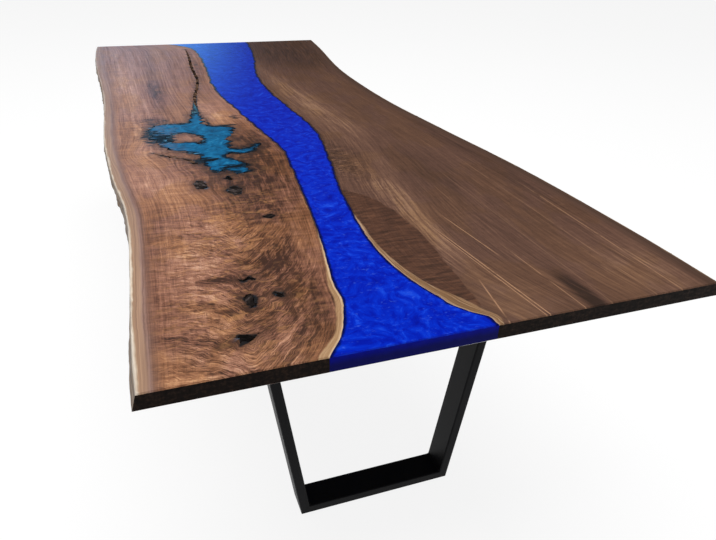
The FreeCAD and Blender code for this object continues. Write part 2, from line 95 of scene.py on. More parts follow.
def wall_line(node, facing, lowest, highest):
    """Upper rim of a node's walls that face one way across the table, as points in order along it."""
    mesh = nodes[node].data
    places = []
    for face in mesh.polygons:
        if face.normal.x * facing < 0.3 or abs(face.normal.z) > 0.7:
            continue
        for index in face.vertices:
            corner = mesh.vertices[index].co
            if corner.z > table_top - hair and lowest < corner.x < highest:
                places.append((round(corner.y, 5), round(corner.x, 5)))
    line = np.array(sorted(set(places)))
    return np.column_stack([np.interp(line_stations, line[:, 0], line[:, 1]), line_stations])


left_rim = wall_line("left_slab", -1, -0.7, -0.47)
right_rim = wall_line("right_slab", 1, 0.38, 0.7)
left_bank = wall_line("river_casting", -1, -0.5, 0.5)
right_bank = wall_line("river_casting", 1, -0.5, 0.5)
lines_of_top = {
    "left rim": left_rim, "left bank": left_bank, "right bank": right_bank, "right rim": right_rim}
for name, line in lines_of_top.items():
    print(name, "from", round(line[:, 0].min(), 3), "to", round(line[:, 0].max(), 3))

# %% [markdown]
# ## Fine copies of the slabs
# A CAD slab is a few large flat faces, which is right for cutting but too coarse to carry a wavy edge or
# grain that follows it. A grid bent to the outline would lose the pockets for the resin. Here each CAD slab
# is copied, its corners are merged, and it is sliced at even stations with bisect, so every pocket stays.

# %% Copy and slice
def pick_only(piece):
    bpy.ops.object.select_all(action="DESELECT")
    piece.select_set(True)
    bpy.context.view_layer.objects.active = piece


def copy_node(node, name):
    """A free copy of a CAD node with its corners merged and its flat faces made whole."""
    piece = bpy.data.objects.new(name, nodes[node].data.copy())
    bpy.context.scene.collection.objects.link(piece)
    piece.data.materials.clear()
    pick_only(piece)
    bpy.ops.object.mode_set(mode="EDIT")
    bpy.ops.mesh.select_all(action="SELECT")
    bpy.ops.mesh.customdata_custom_splitnormals_clear()
    bpy.ops.mesh.remove_doubles(threshold=0.000005)
    bpy.ops.mesh.dissolve_limited(angle_limit=math.radians(0.3))
    bpy.ops.object.mode_set(mode="OBJECT")
    return piece


def slice_piece(piece, direction, stations):
    """Cuts new edges into a piece on flat planes across one direction."""
    pick_only(piece)
    bpy.ops.object.mode_set(mode="EDIT")
    for station in stations:
        bpy.ops.mesh.select_all(action="SELECT")
        plane_point = [value * station for value in direction]
        bpy.ops.mesh.bisect(plane_co=plane_point, plane_no=direction)
    bpy.ops.object.mode_set(mode="OBJECT")


along, across, upright = (0, 1, 0), (1, 0, 0), (0, 0, 1)
slice_length, slice_width, last_slice = 0.01, 0.016, 0.004
along_stations = np.arange(near_end + slice_length, far_end - last_slice, slice_length)
across_stations = np.arange(-0.568, 0.57, slice_width)
wall_stations = [underside + rise for rise in (0.008, 0.016, 0.024)]
height_stations = wall_stations + [table_top - 0.003, table_top - 0.001]


def fine_piece(node, name, heights):
    piece = copy_node(node, name)
    low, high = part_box(node)
    slice_piece(piece, upright, heights)
    slice_piece(piece, across, [x for x in across_stations if low.x < x < high.x])
    slice_piece(piece, along, [y for y in along_stations if low.y < y < high.y])
    print(name, "faces", len(piece.data.polygons))
    return piece


left_slab = fine_piece("left_slab", "left_walnut_slab", height_stations)
right_slab = fine_piece("right_slab", "right_walnut_slab", height_stations)

# %% [markdown]
# ## The resin castings
# The river was poured between the banks, the turquoise pool and the dark fills into hollows of the left slab.
# Their CAD shapes are right but smooth, and real hollows are ragged, so they are copied and sliced on the
# same planes as the slabs. Corners that touch then stay together when both are frayed.

# %% Copy the castings
river = fine_piece("river_casting", "resin_river", [])
pool = fine_piece("pool_casting", "turquoise_pool", [])
crack_fills = fine_piece("crack_fills", "dark_crack_fills", [])
knot_fills = fine_piece("knot_fills", "dark_knot_fills", [])


def corner_array(piece):
    corners = np.empty(len(piece.data.vertices) * 3, np.float32)
    piece.data.vertices.foreach_get("co", corners)
    return corners.reshape(-1, 3).astype(float)


print("castings copied")

# %% [markdown]
# ## Maps for the grain
# Wood grain is drawn by the tree: it runs along the slab, turns round every knot and follows both edges.
# An image could show that, but it would not move with the outline. Instead every corner of a slab is told a
# few facts as attributes: how far it is from the rim, the bank and the nearest resin, and where it lies on
# the grain. The finish reads those.

# %% Measure each corner
def distance_to(places, line):
    """Shortest distance from each place to a row of points, in plan."""
    nearest = np.empty(len(places))
    at_once = 2000
    for start in range(0, len(places), at_once):
        block = places[start:start + at_once, None, :2] - line[None, :, :2]
        nearest[start:start + at_once] = np.sqrt((block ** 2).sum(2)).min(1)
    return nearest


def rim_points(*names):
    """Corners of the upper outline of resin nodes."""
    points = []
    for name in names:
        for vertex in nodes[name].data.vertices:
            if vertex.co.z > table_top - hair:
                points.append((round(vertex.co.x, 4), round(vertex.co.y, 4)))
    return np.array(sorted(set(points)))


def give(piece, name, values, kind="FLOAT"):
    """Stores one value, or one vector, for each corner of a piece."""
    attribute = piece.data.attributes.new(name, kind, "POINT")
    field = "vector" if kind == "FLOAT_VECTOR" else "value"
    attribute.data.foreach_set(field, np.ascontiguousarray(values, np.float32).ravel())


def patches(places, rows):
    """Sum of soft spots: middle, half width, half length, strength and how sharp the border is."""
    total = np.zeros(len(places))
    for x, y, half_width, half_length, strength, sharp in rows:
        spread = ((places[:, 0] - x) / half_width) ** 2 + ((places[:, 1] - y) / half_length) ** 2
        total += strength * np.exp(-spread ** sharp)
    return total


pool_points = rim_points("pool_casting")
knot_points = rim_points("knot_fills", "crack_fills")
print("pool outline", len(pool_points), "knot and crack outlines", len(knot_points))

# %% [markdown]
# ## Grain of the left slab
# This slab was cut where a branch left the trunk. The grain turns round the knots, and a feather figure
# spreads from the pith of the branch. Both could be painted stroke by stroke. Two maps say instead, for every
# corner, how far it lies across the grain and along the barbs of the feather.

# %% Turn the grain
# Middle lines of the knots that the grain turns round, with how far each turns it.
knot_lines = [
    ((-0.337, -0.58), (-0.262, -0.63), 0.05),
    ((-0.330, -0.43), (-0.220, -0.45), 0.06),
    ((-0.420, -0.30), (-0.200, -0.10), 0.08),
    ((-0.215, -0.82), (-0.215, -0.80), 0.03),
]
# The pith of an old branch, from which a feather figure spreads to both sides.
pith_x = [-0.372, -0.362, -0.335, -0.320, -0.312, -0.305]
pith_y = [-1.372, -1.280, -1.160, -1.080, -0.920, -0.780]
# How the barbs rise and bend on either side, how far they reach, and where the feather fades out.
left_lift, left_bend = 0.11, 0.053
right_slope, right_bend = 0.9, 4
left_barb, right_barb = 0.15, 0.13
feather_tip, feather_fade = -0.60, 0.30


def distance_to_stretch(places, start, end):
    start, end = np.array(start), np.array(end)
    run = end - start
    share = np.clip(((places[:, :2] - start) @ run) / (run @ run), 0, 1)
    return np.linalg.norm(places[:, :2] - start - share[:, None] * run, axis=1)


def grain_map(places, outer, inner, rows, width):
    """Across-the-grain place: even between the two edges of a slab, and rings round its knots."""
    outer_x = np.interp(places[:, 1], outer[:, 1], outer[:, 0])
    inner_x = np.interp(places[:, 1], inner[:, 1], inner[:, 0])
    plain = (places[:, 0] - outer_x) / (inner_x - outer_x) * width
    plain_share, first_ring = 5.0, 0.3
    total, share = plain * plain_share, np.full(len(places), plain_share)
    for start, end, reach in rows:
        gap = distance_to_stretch(places, start, end)
        pull = np.exp(-(gap / reach) ** 2)
        total += pull * (first_ring + gap)
        share += pull
    return np.column_stack([total / share, places[:, 1], places[:, 2]])


def feather_map(places):
    """Place along and across the barbs of the feather figure, and how strong it is there."""
    offset = places[:, 0] - np.interp(places[:, 1], pith_y, pith_x)
    left_rise = left_lift * (1 - np.exp(np.minimum(offset, 0) / left_bend))
    right_rise = np.maximum(offset, 0) * (right_slope + right_bend * np.maximum(offset, 0))
    barbs = np.column_stack([offset, places[:, 1] - left_rise - right_rise, places[:, 2]])
    reach = np.where(offset < 0, left_barb, right_barb)
    beside_pith = np.clip(1.6 - np.abs(offset) / reach, 0, 1)
    before_tip = np.clip((feather_tip - places[:, 1]) / feather_fade, 0, 1)
    return barbs, beside_pith * before_tip


print("grain turns round", len(knot_lines), "knots")

# %% [markdown]
# ## Marks of the left slab
# Lively figure, dark and pale areas and scorched wood lie in places of their own. A painted mask could show
# them, but it would need a picture file beside the script. Here each is one soft spot, put where it shows on
# the top: its middle, half width, half length, strength and how sharp its border is.

# %% Mark the left slab
left_figure = [
    (-0.36, -1.18, 0.14, 0.20, 0.8, 1), (-0.33, -0.85, 0.10, 0.14, 0.9, 1),
    (-0.20, -0.72, 0.06, 0.10, 0.6, 1),
    (-0.30, -0.35, 0.20, 0.30, 0.5, 1), (-0.43, -0.03, 0.06, 0.16, 0.7, 1),
]
left_tone = [
    (-0.265, -1.25, 0.055, 0.14, -0.26, 1),
    (-0.26, -1.04, 0.045, 0.10, -0.30, 1), (-0.225, -0.76, 0.085, 0.16, -0.24, 1),
    (-0.215, -1.12, 0.055, 0.24, -0.24, 1),
    (-0.19, -0.52, 0.10, 0.20, -0.44, 1), (-0.15, -0.28, 0.06, 0.16, -0.40, 1),
    (-0.335, -1.20, 0.03, 0.15, -0.26, 1), (-0.475, -1.05, 0.022, 0.35, -0.08, 1),
    (-0.34, -0.827, 0.03, 0.03, 0.22, 1), (-0.435, -0.57, 0.06, 0.10, 0.18, 1),
    (-0.42, -0.97, 0.05, 0.16, 0.10, 1), (-0.185, -1.00, 0.025, 0.12, 0.06, 1),
    (-0.46, -0.40, 0.05, 0.20, 0.14, 1), (-0.195, 0.05, 0.045, 0.16, 0.24, 1),
    (-0.36, -0.45, 0.12, 0.16, -0.10, 1), (-0.375, -1.075, 0.032, 0.011, -0.50, 1),
    (-0.358, -1.190, 0.028, 0.012, -0.36, 1), (-0.405, -1.285, 0.032, 0.016, -0.30, 1),
    (-0.310, -1.025, 0.050, 0.014, -0.34, 1),
    (-0.41, 0.02, 0.04, 0.05, -0.25, 1), (-0.36, 0.42, 0.03, 0.18, -0.28, 1),
    (-0.47, 0.5, 0.05, 0.7, 0.16, 1), (-0.28, 0.35, 0.06, 0.25, 0.06, 1),
]
# Scorched wood round the hollow, and the dark lips that run into the resin.
scorches = [
    (-0.415, -0.15, 0.055, 0.11, 0.64, 2), (-0.400, 0.02, 0.060, 0.06, 0.52, 2),
    (-0.365, -0.18, 0.035, 0.04, 0.5, 2),
    (-0.145, 0.85, 0.020, 0.14, 0.52, 2), (-0.225, 0.26, 0.012, 0.16, 0.50, 2),
    (-0.235, -0.03, 0.012, 0.06, 0.7, 2), (-0.185, -0.08, 0.050, 0.014, 0.8, 2),
    (-0.140, 0.01, 0.035, 0.05, 0.54, 2), (-0.300, -0.40, 0.055, 0.035, 0.70, 2),
    (-0.170, -0.315, 0.050, 0.040, 0.54, 2), (-0.225, -0.465, 0.06, 0.025, 0.72, 2),
]
# The narrow end of the hollow, where it closes to a crack.
channel = np.array([(-0.270, 0.02), (-0.262, 0.06), (-0.247, 0.17), (-0.236, 0.24), (-0.222, 0.32)])
channel_width = [0.012, 0.011, 0.007, 0.0035, 0.002]
# Width of the pale sapwood along the bank.
left_sapwood_y = [-1.37, -1.345, -1.31, -1.27, -1.22, -1.17, -1.10, -1.02, -0.95, -0.9]
left_sapwood_width = [0.024, 0.016, 0.013, 0.013, 0.014, 0.011, 0.007, 0.004, 0.002, 0]


def distance_into_channel(places):
    """How far a place lies inside the narrow end of the hollow; negative outside."""
    deepest = np.full(len(places), -1.0)
    for step in range(len(channel) - 1):
        for share in np.linspace(0, 1, 12):
            middle = channel[step] * (1 - share) + channel[step + 1] * share
            width = channel_width[step] * (1 - share) + channel_width[step + 1] * share
            gap = np.linalg.norm(places[:, :2] - middle, axis=1)
            deepest = np.maximum(deepest, width - gap)
    return deepest


print("marks of the left slab", len(left_figure) + len(left_tone) + len(scorches))


# %% Tell the left slab
left_slab_width = 0.42


def map_left(piece):
    places = corner_array(piece)
    barbs, strength = feather_map(places)
    grain = grain_map(places, left_rim, left_bank, knot_lines, left_slab_width)
    give(piece, "grain", grain, "FLOAT_VECTOR")
    give(piece, "barbs", barbs, "FLOAT_VECTOR")
    give(piece, "feathered", strength)
    inside = np.sign(places[:, 0] - np.interp(places[:, 1], left_rim[:, 1], left_rim[:, 0]))
    give(piece, "rim", distance_to(places, left_rim) * inside)
    give(piece, "bank", distance_to(places, left_bank))
    give(piece, "sapwood", np.interp(places[:, 1], left_sapwood_y, left_sapwood_width))
    give(piece, "lens", np.full(len(places), -1.0))
    give(piece, "pool", distance_to(places, pool_points))
    give(piece, "knot", distance_to(places, knot_points))
    give(piece, "scorch", patches(places, scorches))
    give(piece, "channel", distance_into_channel(places))
    give(piece, "figure", patches(places, left_figure))
    give(piece, "tone", patches(places, left_tone))


map_left(left_slab)
give(pool, "bank", distance_to(corner_array(pool), pool_points))
give(pool, "scorch", patches(corner_array(pool), scorches))
frosted_knots = [(-0.340, -0.58, 0.03, 0.04, 1, 2), (-0.262, -0.64, 0.03, 0.04, 0.8, 2)]
give(knot_fills, "frost", patches(corner_array(knot_fills), frosted_knots))
print("left slab attributes", len(left_slab.data.attributes))

# %% [markdown]
# ## Grain of the right slab
# The right slab is plain and straight, with pinstripes, a small burl and a lens of darker wood on the bank.
# It gets the same facts as the left one, so that one finish can serve both.

# %% Mark the right slab
right_figure = [
    (0.09, -0.50, 0.05, 0.18, 0.9, 1), (0.04, -0.95, 0.05, 0.25, 0.5, 1), (0.16, 0.1, 0.06, 0.25, 0.3, 1),
]
right_burl = [(0.06, -0.47, 0.055, 0.19, 0.9, 2)]
right_tone = [
    (0.105, -0.98, 0.026, 0.26, 0.30, 1), (0.125, -0.75, 0.03, 0.14, 0.26, 1),
    (0.15, -1.32, 0.05, 0.10, 0.14, 1), (0.272, -1.34, 0.011, 0.09, -0.85, 1),
    (0.06, -0.42, 0.045, 0.16, -0.16, 1), (0.17, -0.54, 0.03, 0.10, 0.12, 1),
    (0.22, -0.56, 0.05, 0.20, -0.10, 1), (0.30, -0.68, 0.05, 0.14, -0.09, 1),
    (0.13, 0.42, 0.05, 0.22, 0.20, 1), (0.16, 0.10, 0.06, 0.22, 0.24, 1), (0.18, -0.20, 0.06, 0.20, 0.16, 1),
    (0.36, 1.10, 0.26, 0.45, -0.24, 2), (0.10, 0.85, 0.03, 0.30, 0.14, 1),
    (0.47, -0.2, 0.035, 0.6, -0.20, 1), (0.46, -1.27, 0.12, 0.14, 0.20, 1),
]
right_sapwood_y = [-1.37, -1.33, -1.30, -1.27, -1.22, -1.15, -1.05, -0.95, -0.89, -0.84]
right_sapwood_width = [0.012, 0.022, 0.028, 0.027, 0.020, 0.015, 0.011, 0.008, 0.004, 0]
# Border of the lens on the side away from the bank, and where the lens starts and ends.
lens_y = [-1.3, -1.23, -1.14, -1.05, -0.96, -0.87, -0.81, -0.76, -0.72]
lens_x = [0.064, 0.068, 0.074, 0.082, 0.083, 0.078, 0.064, 0.045, 0.01]
lens_start, lens_stop = -1.31, -0.70
print("marks of the right slab", len(right_figure) + len(right_burl) + len(right_tone))

# %% Tell the right slab
right_slab_width = 0.5


def map_right(piece):
    places = corner_array(piece)
    grain = grain_map(places, right_rim, right_bank, [], right_slab_width)
    give(piece, "grain", grain, "FLOAT_VECTOR")
    give(piece, "barbs", places, "FLOAT_VECTOR")
    give(piece, "feathered", patches(places, right_burl))
    inside = np.sign(np.interp(places[:, 1], right_rim[:, 1], right_rim[:, 0]) - places[:, 0])
    give(piece, "rim", distance_to(places, right_rim) * inside)
    give(piece, "bank", distance_to(places, right_bank))
    give(piece, "sapwood", np.interp(places[:, 1], right_sapwood_y, right_sapwood_width))
    lens_border = np.interp(places[:, 1], lens_y, lens_x)
    lens_end = np.minimum((places[:, 1] - lens_start) * 0.4, (lens_stop - places[:, 1]) * 0.5)
    give(piece, "lens", np.minimum(lens_border - places[:, 0], lens_end))
    for name in ("pool", "knot"):
        give(piece, name, np.full(len(places), 1.0))
    give(piece, "scorch", np.zeros(len(places)))
    give(piece, "channel", np.full(len(places), -1.0))
    give(piece, "figure", patches(places, right_figure))
    give(piece, "tone", patches(places, right_tone))


map_right(right_slab)
river_places = corner_array(river)
give(river, "bank", np.minimum(distance_to(river_places, left_bank), distance_to(river_places, right_bank)))
print("right slab attributes", len(right_slab.data.attributes))

# %% [markdown]
# ## Ragged banks and hollows
# Where wood broke or rotted, its border with the resin is ragged. Drawing that point by point would take
# days. A displace modifier with a cloud texture moves the corners near a border sideways instead. Wood and
# resin get the same push at the same place, so the joint stays tight. At the near end both banks also swing a
# little further than the CAD curves, by four even pushes.

# %% Fray the borders
def weigh(piece, name, weights):
    """A vertex group with one weight for each corner."""
    group = piece.vertex_groups.new(name=name)
    for index in np.flatnonzero(weights > 0.001):
        group.add([int(index)], float(weights[index]), "REPLACE")


def push(piece, group, direction, strength, cloud_size=None):
    """Moves the corners of a group along one direction, evenly or by a cloud texture of that size."""
    mover = piece.modifiers.new("push", "DISPLACE")
    mover.direction = direction
    mover.vertex_group = group
    mover.strength = strength
    mover.mid_level = 0.0
    if cloud_size:
        clouds = bpy.data.textures.new("clouds", type="CLOUDS")
        clouds.noise_scale = cloud_size
        clouds.noise_depth = 2
        mover.texture = clouds
        mover.texture_coords = "LOCAL"
        mover.mid_level = 0.5
    pick_only(piece)
    bpy.ops.object.modifier_apply(modifier="push")


border_reach, bank_reach = 0.03, 0.05
crack_start, crack_blend = 0.02, 0.1
# The banks are calm at the near end and ragged further on. Their raggedness fades out at the sawn ends.
ragged_y, ragged_share = [near_end, -0.8, -0.45, far_end], [0.1, 0.25, 1, 1]
end_fade = 0.03
# Group, direction, distance and size of the cloud.
ragged_pushes = [
    ("near_hollow", "X", 0.050, 0.022), ("near_hollow", "X", 0.018, 0.007),
    ("near_hollow", "Y", 0.030, 0.016),
    ("near_fill", "X", 0.024, 0.011), ("near_fill", "Y", 0.026, 0.013),
    ("near_bank", "X", 0.014, 0.05), ("near_bank", "X", 0.007, 0.012),
]
# Line, place along it, half length and distance of the even pushes.
swings = [
    (right_bank, -1.343, 0.017, 0.012), (right_bank, -1.285, 0.022, -0.006),
    (left_bank, -1.215, 0.035, 0.006), (left_bank, -1.368, 0.030, -0.007),
]


def nearness(places, line):
    """One on a border, and less further off."""
    return np.clip(1.2 - distance_to(places, line) / border_reach, 0, 1)


def fray(piece):
    places = corner_array(piece)
    in_crack = np.clip((places[:, 1] - crack_start) / crack_blend, 0, 1)
    weigh(piece, "near_hollow", nearness(places, pool_points))
    weigh(piece, "near_fill", nearness(places, knot_points) * (1 - 0.5 * in_crack))
    bank = np.minimum(distance_to(places, left_bank), distance_to(places, right_bank))
    ragged = np.interp(places[:, 1], ragged_y, ragged_share)
    ragged *= np.clip((far_end - np.abs(places[:, 1])) / end_fade, 0, 1)
    weigh(piece, "near_bank", np.clip(1 - bank / bank_reach, 0, 1) * ragged)
    for group, direction, strength, cloud_size in ragged_pushes:
        push(piece, group, direction, strength, cloud_size)
    for number, (line, middle, half_length, distance) in enumerate(swings):
        spread = np.exp(-((places[:, 1] - middle) / half_length) ** 2)
        weigh(piece, f"swing_{number}", nearness(places, line) * spread)
        push(piece, f"swing_{number}", "X", distance)
    piece.vertex_groups.clear()


for piece in (left_slab, right_slab, river, pool, crack_fills, knot_fills):
    fray(piece)
    print(piece.name, "frayed")

# %% [markdown]
# ## The natural edge
# Under the bark a tree is never smooth: the edge swells, hollows and leans as it goes. The CAD edge is one
# clean lean. The upper rim is drawn in a little, as a maker eases it by hand, and the wall below is pushed in
# and out, weakly at the rim, which has to keep the outline, and more lower down.

# %% Ease and roughen the live edges
def pick_inside(piece, kind, chosen):
    """Picks some corners or faces of a piece and leaves it in edit mode."""
    pick_only(piece)
    bpy.ops.object.mode_set(mode="EDIT")
    bpy.ops.mesh.select_mode(type=kind)
    bpy.ops.mesh.select_all(action="DESELECT")
    bpy.ops.object.mode_set(mode="OBJECT")
    elements = piece.data.vertices if kind == "VERT" else piece.data.polygons
    elements.foreach_set("select", chosen)
    bpy.ops.object.mode_set(mode="EDIT")


def past_line(places, line, outward):
    """How far each place lies outside an edge line."""
    return (places[:, 0] - np.interp(places[:, 1], line[:, 1], line[:, 0])) * outward


def draw_in(piece, line, outward, height, distance):
    """Moves the row of wall corners at one height in from the rim."""
    places = corner_array(piece)
    chosen = (np.abs(places[:, 2] - height) < 0.0002) & (past_line(places, line, outward) > -0.0008)
    pick_inside(piece, "VERT", chosen)
    bpy.ops.transform.translate(value=(-distance * outward, 0, 0))
    bpy.ops.object.mode_set(mode="OBJECT")
    return int(chosen.sum())


rim_ease, lower_ease, ease_height = 0.0018, 0.0007, 0.001
undercut_depth = 0.009
swell, swell_size = 0.012, 0.08
ripple, ripple_size = 0.004, 0.018
relief_y, relief_share = [near_end, -0.95, -0.75], [0.25, 0.4, 1.0]


def roughen_edge(piece, line, outward, stations, shares):
    """Undercuts the wall below the rim by shares along the table, and roughens it."""
    places = corner_array(piece)
    depth = np.clip((table_top - places[:, 2]) / (table_top - underside), 0, 1)
    wall = past_line(places, line, outward) > -0.004
    weigh(piece, "undercut", np.where(wall, depth * np.interp(places[:, 1], stations, shares), 0))
    lively = np.interp(places[:, 1], relief_y, relief_share)
    weigh(piece, "relief", np.where(wall, (0.08 + 0.92 * depth) * lively, 0))
    push(piece, "undercut", "X", -undercut_depth * outward)
    push(piece, "relief", "X", swell, swell_size)
    push(piece, "relief", "X", ripple, ripple_size)
    piece.vertex_groups.clear()


for piece, line, outward in ((left_slab, left_rim, -1), (right_slab, right_rim, 1)):
    moved = draw_in(piece, line, outward, table_top, rim_ease)
    draw_in(piece, line, outward, table_top - ease_height, lower_ease)
    print(piece.name, "rim corners eased", moved)
left_stations, left_shares = [near_end, -1.2, -1.0, -0.75, -0.55, 1.3], [0, 0.2, 0.7, 0.4, 0.8, 0.6]
roughen_edge(left_slab, left_rim, -1, left_stations, left_shares)
roughen_edge(right_slab, right_rim, 1, [near_end, far_end], [0.2, 0.6])

# %% [markdown]
# ## Welds of the leg frames
# Each frame is welded where its posts meet the rail, and a bead of weld lies in both inner corners. The CAD
# tubes are right as they are, with their rounded corners, so only the beads are new. A bead could be a smooth
# fillet. Here it is a rod sliced across and ruffled with a cloud texture, as the arc leaves it.

# %% Lay the welds
bead_radius, bead_step, bead_inset = 0.0032, 0.0015, 0.003
ruffle, ruffle_size = 0.0014, 0.004


def weld_bead(name, place, length):
    bpy.ops.object.select_all(action="DESELECT")
    bpy.ops.mesh.primitive_cylinder_add(vertices=16, radius=bead_radius, depth=length, location=place)
    bead = bpy.context.object
    bead.name = name
    bpy.ops.transform.rotate(value=math.radians(90), orient_axis="X", center_override=place)
    bpy.ops.object.transform_apply(location=True, rotation=True, scale=True)
    near, far = place[1] - length / 2, place[1] + length / 2
    slice_piece(bead, along, np.arange(near + bead_step, far - 0.001, bead_step))
    push(bead, "", "NORMAL", ruffle, ruffle_size)
    return bead


welds = []
for end in ("near", "far"):
    low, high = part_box(f"{end}_foot_rail")
    corner_x = max(v.co.x for v in nodes[f"{end}_foot_rail"].data.vertices if v.co.z > high.z - hair)
    for side, sign in (("left", -1), ("right", 1)):
        place = (sign * corner_x, (low.y + high.y) / 2, high.z)
        welds.append(weld_bead(f"{end}_{side}_weld", place, high.y - low.y - 2 * bead_inset))
print("weld beads", len(welds))

# %% [markdown]
# ## Words for mixing a finish
# A finish is a small network of nodes. Wiring each one by hand takes many lines, so this helper has one short
# word for each node that the finishes below use, and gives back its output.

# %% A palette for finishes
def colour(red, green, blue):
    """A colour as it looks on a screen, 0 to 255, in the linear values that shaders take."""
    parts = [value / 255 for value in (red, green, blue)]
    return tuple(p / 12.92 if p < 0.04045 else ((p + 0.055) / 1.055) ** 2.4 for p in parts) + (1.0,)


class Finish:
    def __init__(self, name):
        self.material = bpy.data.materials.new(name)
        self.material.use_nodes = True
        self.tree = self.material.node_tree
        self.shader = self.tree.nodes["Principled BSDF"]

    def add(self, kind, settings, feeds, output):
        node = self.tree.nodes.new(kind)
        for name, value in settings.items():
            setattr(node, name, value)
        for socket, value in feeds.items():
            self.feed(node.inputs[socket], value)
        return node.outputs[output]

    def feed(self, socket, value):
        if isinstance(value, bpy.types.NodeSocket):
            self.tree.links.new(value, socket)
        else:
            socket.default_value = value

    def set(self, **values):
        for name, value in values.items():
            self.feed(self.shader.inputs[name.replace("_", " ")], value)

    def place(self):
        return self.add("ShaderNodeTexCoord", {}, {}, "Object")

    def fact(self, name, output="Fac"):
        return self.add("ShaderNodeAttribute", {"attribute_name": name}, {}, output)

    def stretch(self, vector, amounts):
        return self.add("ShaderNodeVectorMath", {"operation": "MULTIPLY"}, {0: vector, 1: amounts}, 0)

    def shift(self, vector, other):
        return self.add("ShaderNodeVectorMath", {"operation": "ADD"}, {0: vector, 1: other}, 0)

    def carry(self, vector, direction, distance):
        """A vector moved along another by a distance."""
        steps = self.add("ShaderNodeCombineXYZ", {}, {0: distance, 1: distance, 2: 0.0}, 0)
        feeds = {0: direction, 1: steps, 2: vector}
        return self.add("ShaderNodeVectorMath", {"operation": "MULTIPLY_ADD"}, feeds, 0)

    def layer(self, value, noise, strength):
        """A value raised or lowered by a noise that is even about one half."""
        return self.sum("ADD", value, self.sum("MULTIPLY", self.sum("SUBTRACT", noise, 0.5), strength))

    def split(self, vector, axis):
        return self.add("ShaderNodeSeparateXYZ", {}, {0: vector}, axis)

    def sum(self, operation, first, second=0.0, third=0.0):
        return self.add("ShaderNodeMath", {"operation": operation}, {0: first, 1: second, 2: third}, 0)

    def noise(self, vector, scale, detail=2.0, roughness=0.5, distortion=0.0, output="Fac"):
        feeds = {"Vector": vector, "Scale": scale, "Detail": detail}
        feeds.update({"Roughness": roughness, "Distortion": distortion})
        return self.add("ShaderNodeTexNoise", {}, feeds, output)

    def fade(self, value, start, end, low=0.0, high=1.0):
        feeds = {"Value": value, "From Min": start, "From Max": end, "To Min": low, "To Max": high}
        return self.add("ShaderNodeMapRange", {"interpolation_type": "SMOOTHSTEP"}, feeds, 0)

    def ramp(self, value, stops):
        node = self.tree.nodes.new("ShaderNodeValToRGB")
        while len(node.color_ramp.elements) < len(stops):
            node.color_ramp.elements.new(0.5)
        for element, (position, shade) in zip(node.color_ramp.elements, stops):
            element.position = position
            element.color = shade
        self.feed(node.inputs["Fac"], value)
        return node.outputs["Color"]

    def mix(self, share, first, second, blend="MIX"):
        node = self.tree.nodes.new("ShaderNodeMix")
        node.data_type = "RGBA"
        node.blend_type = blend
        self.feed(node.inputs[0], share)
        self.feed(node.inputs[6], first)
        self.feed(node.inputs[7], second)
        return node.outputs[2]

    def blend(self, share, first, second):
        """One number turned into another by a share."""
        return self.add("ShaderNodeMix", {}, {0: share, 2: first, 3: second}, 0)

    def bump(self, height, depth):
        feeds = {"Height": height, "Distance": depth, "Strength": 1.0}
        self.set(Normal=self.add("ShaderNodeBump", {}, feeds, "Normal"))


print("palette ready")

# %% [markdown]
# ## Walnut
# Oiled walnut has wide bands of growth, fine lines of pores, a ripple across the grain where the trunk was
# under strain, a feather figure where a branch left it, pale sapwood at its edges and black stains round
# knots. Each of those is one layer of noise stretched along the grain, and the layers are added up before one
# ramp turns them into colour.

# %% Draw the grain
def grain_layers(finish, looks):
    """The figure of the wood, about one half in plain wood, with its lines, fine lines and bent grain."""
    grain = finish.fact("grain", "Vector")
    barbs = finish.fact("barbs", "Vector")
    place = finish.place()
    figure = finish.fact("figure")
    feathered = finish.fact("feathered")

    swirl = finish.shift(finish.noise(place, 9.0, 2.0, 0.5, output="Color"), (-0.5, -0.5, -0.5))
    burl = finish.shift(finish.noise(place, 45.0, 2.0, 0.6, output="Color"), (-0.5, -0.5, -0.5))
    bent = finish.carry(grain, swirl, finish.sum("MULTIPLY_ADD", figure, 0.016, 0.005))
    bent = finish.carry(bent, burl, finish.sum("MULTIPLY_ADD", figure, 0.012, 0.001))
    ruffled = finish.carry(barbs, swirl, 0.045)
    ruffled = finish.carry(ruffled, burl, 0.018)

    bands = finish.noise(finish.stretch(bent, (26, 0.9, 12)), 1.0, 2.0, 0.5)
    lines = finish.noise(finish.stretch(bent, looks["lines"]), 1.0, 3.0, 0.6)
    fine = finish.noise(finish.stretch(bent, (640, 11, 200)), 1.0, 2.0, 0.6)
    barb_bands = finish.noise(finish.stretch(ruffled, (5, 34, 12)), 1.0, 3.0, 0.6)
    barb_lines = finish.noise(finish.stretch(ruffled, (26, 210, 60)), 1.0, 4.0, 0.70)
    barb_fine = finish.noise(finish.stretch(ruffled, (70, 560, 200)), 1.0, 2.0, 0.6)
    bands = finish.blend(feathered, bands, barb_bands)
    lines = finish.blend(feathered, lines, barb_lines)
    fine = finish.blend(feathered, fine, barb_fine)
    curl = finish.noise(finish.stretch(bent, (9, 95, 12)), 1.0, 4.0, 0.62, 0.4)

    depth = finish.blend(feathered, looks["contrast"], looks["feather"])
    value = finish.layer(0.5, bands, finish.sum("MULTIPLY", depth, looks["bands"]))
    value = finish.layer(value, lines, depth)
    value = finish.layer(value, fine, depth)
    value = finish.layer(value, curl, finish.sum("MULTIPLY_ADD", figure, 0.55, looks["curl"]))
    mottle = finish.noise(finish.stretch(bent, looks["mottle"]), 1.0, 4.0, 0.65, 0.5)
    value = finish.sum("MULTIPLY_ADD", finish.fact("tone"), finish.fade(mottle, 0.3, 0.7, 0.35, 1.65), value)
    return finish.layer(value, mottle, figure), lines, fine, bent


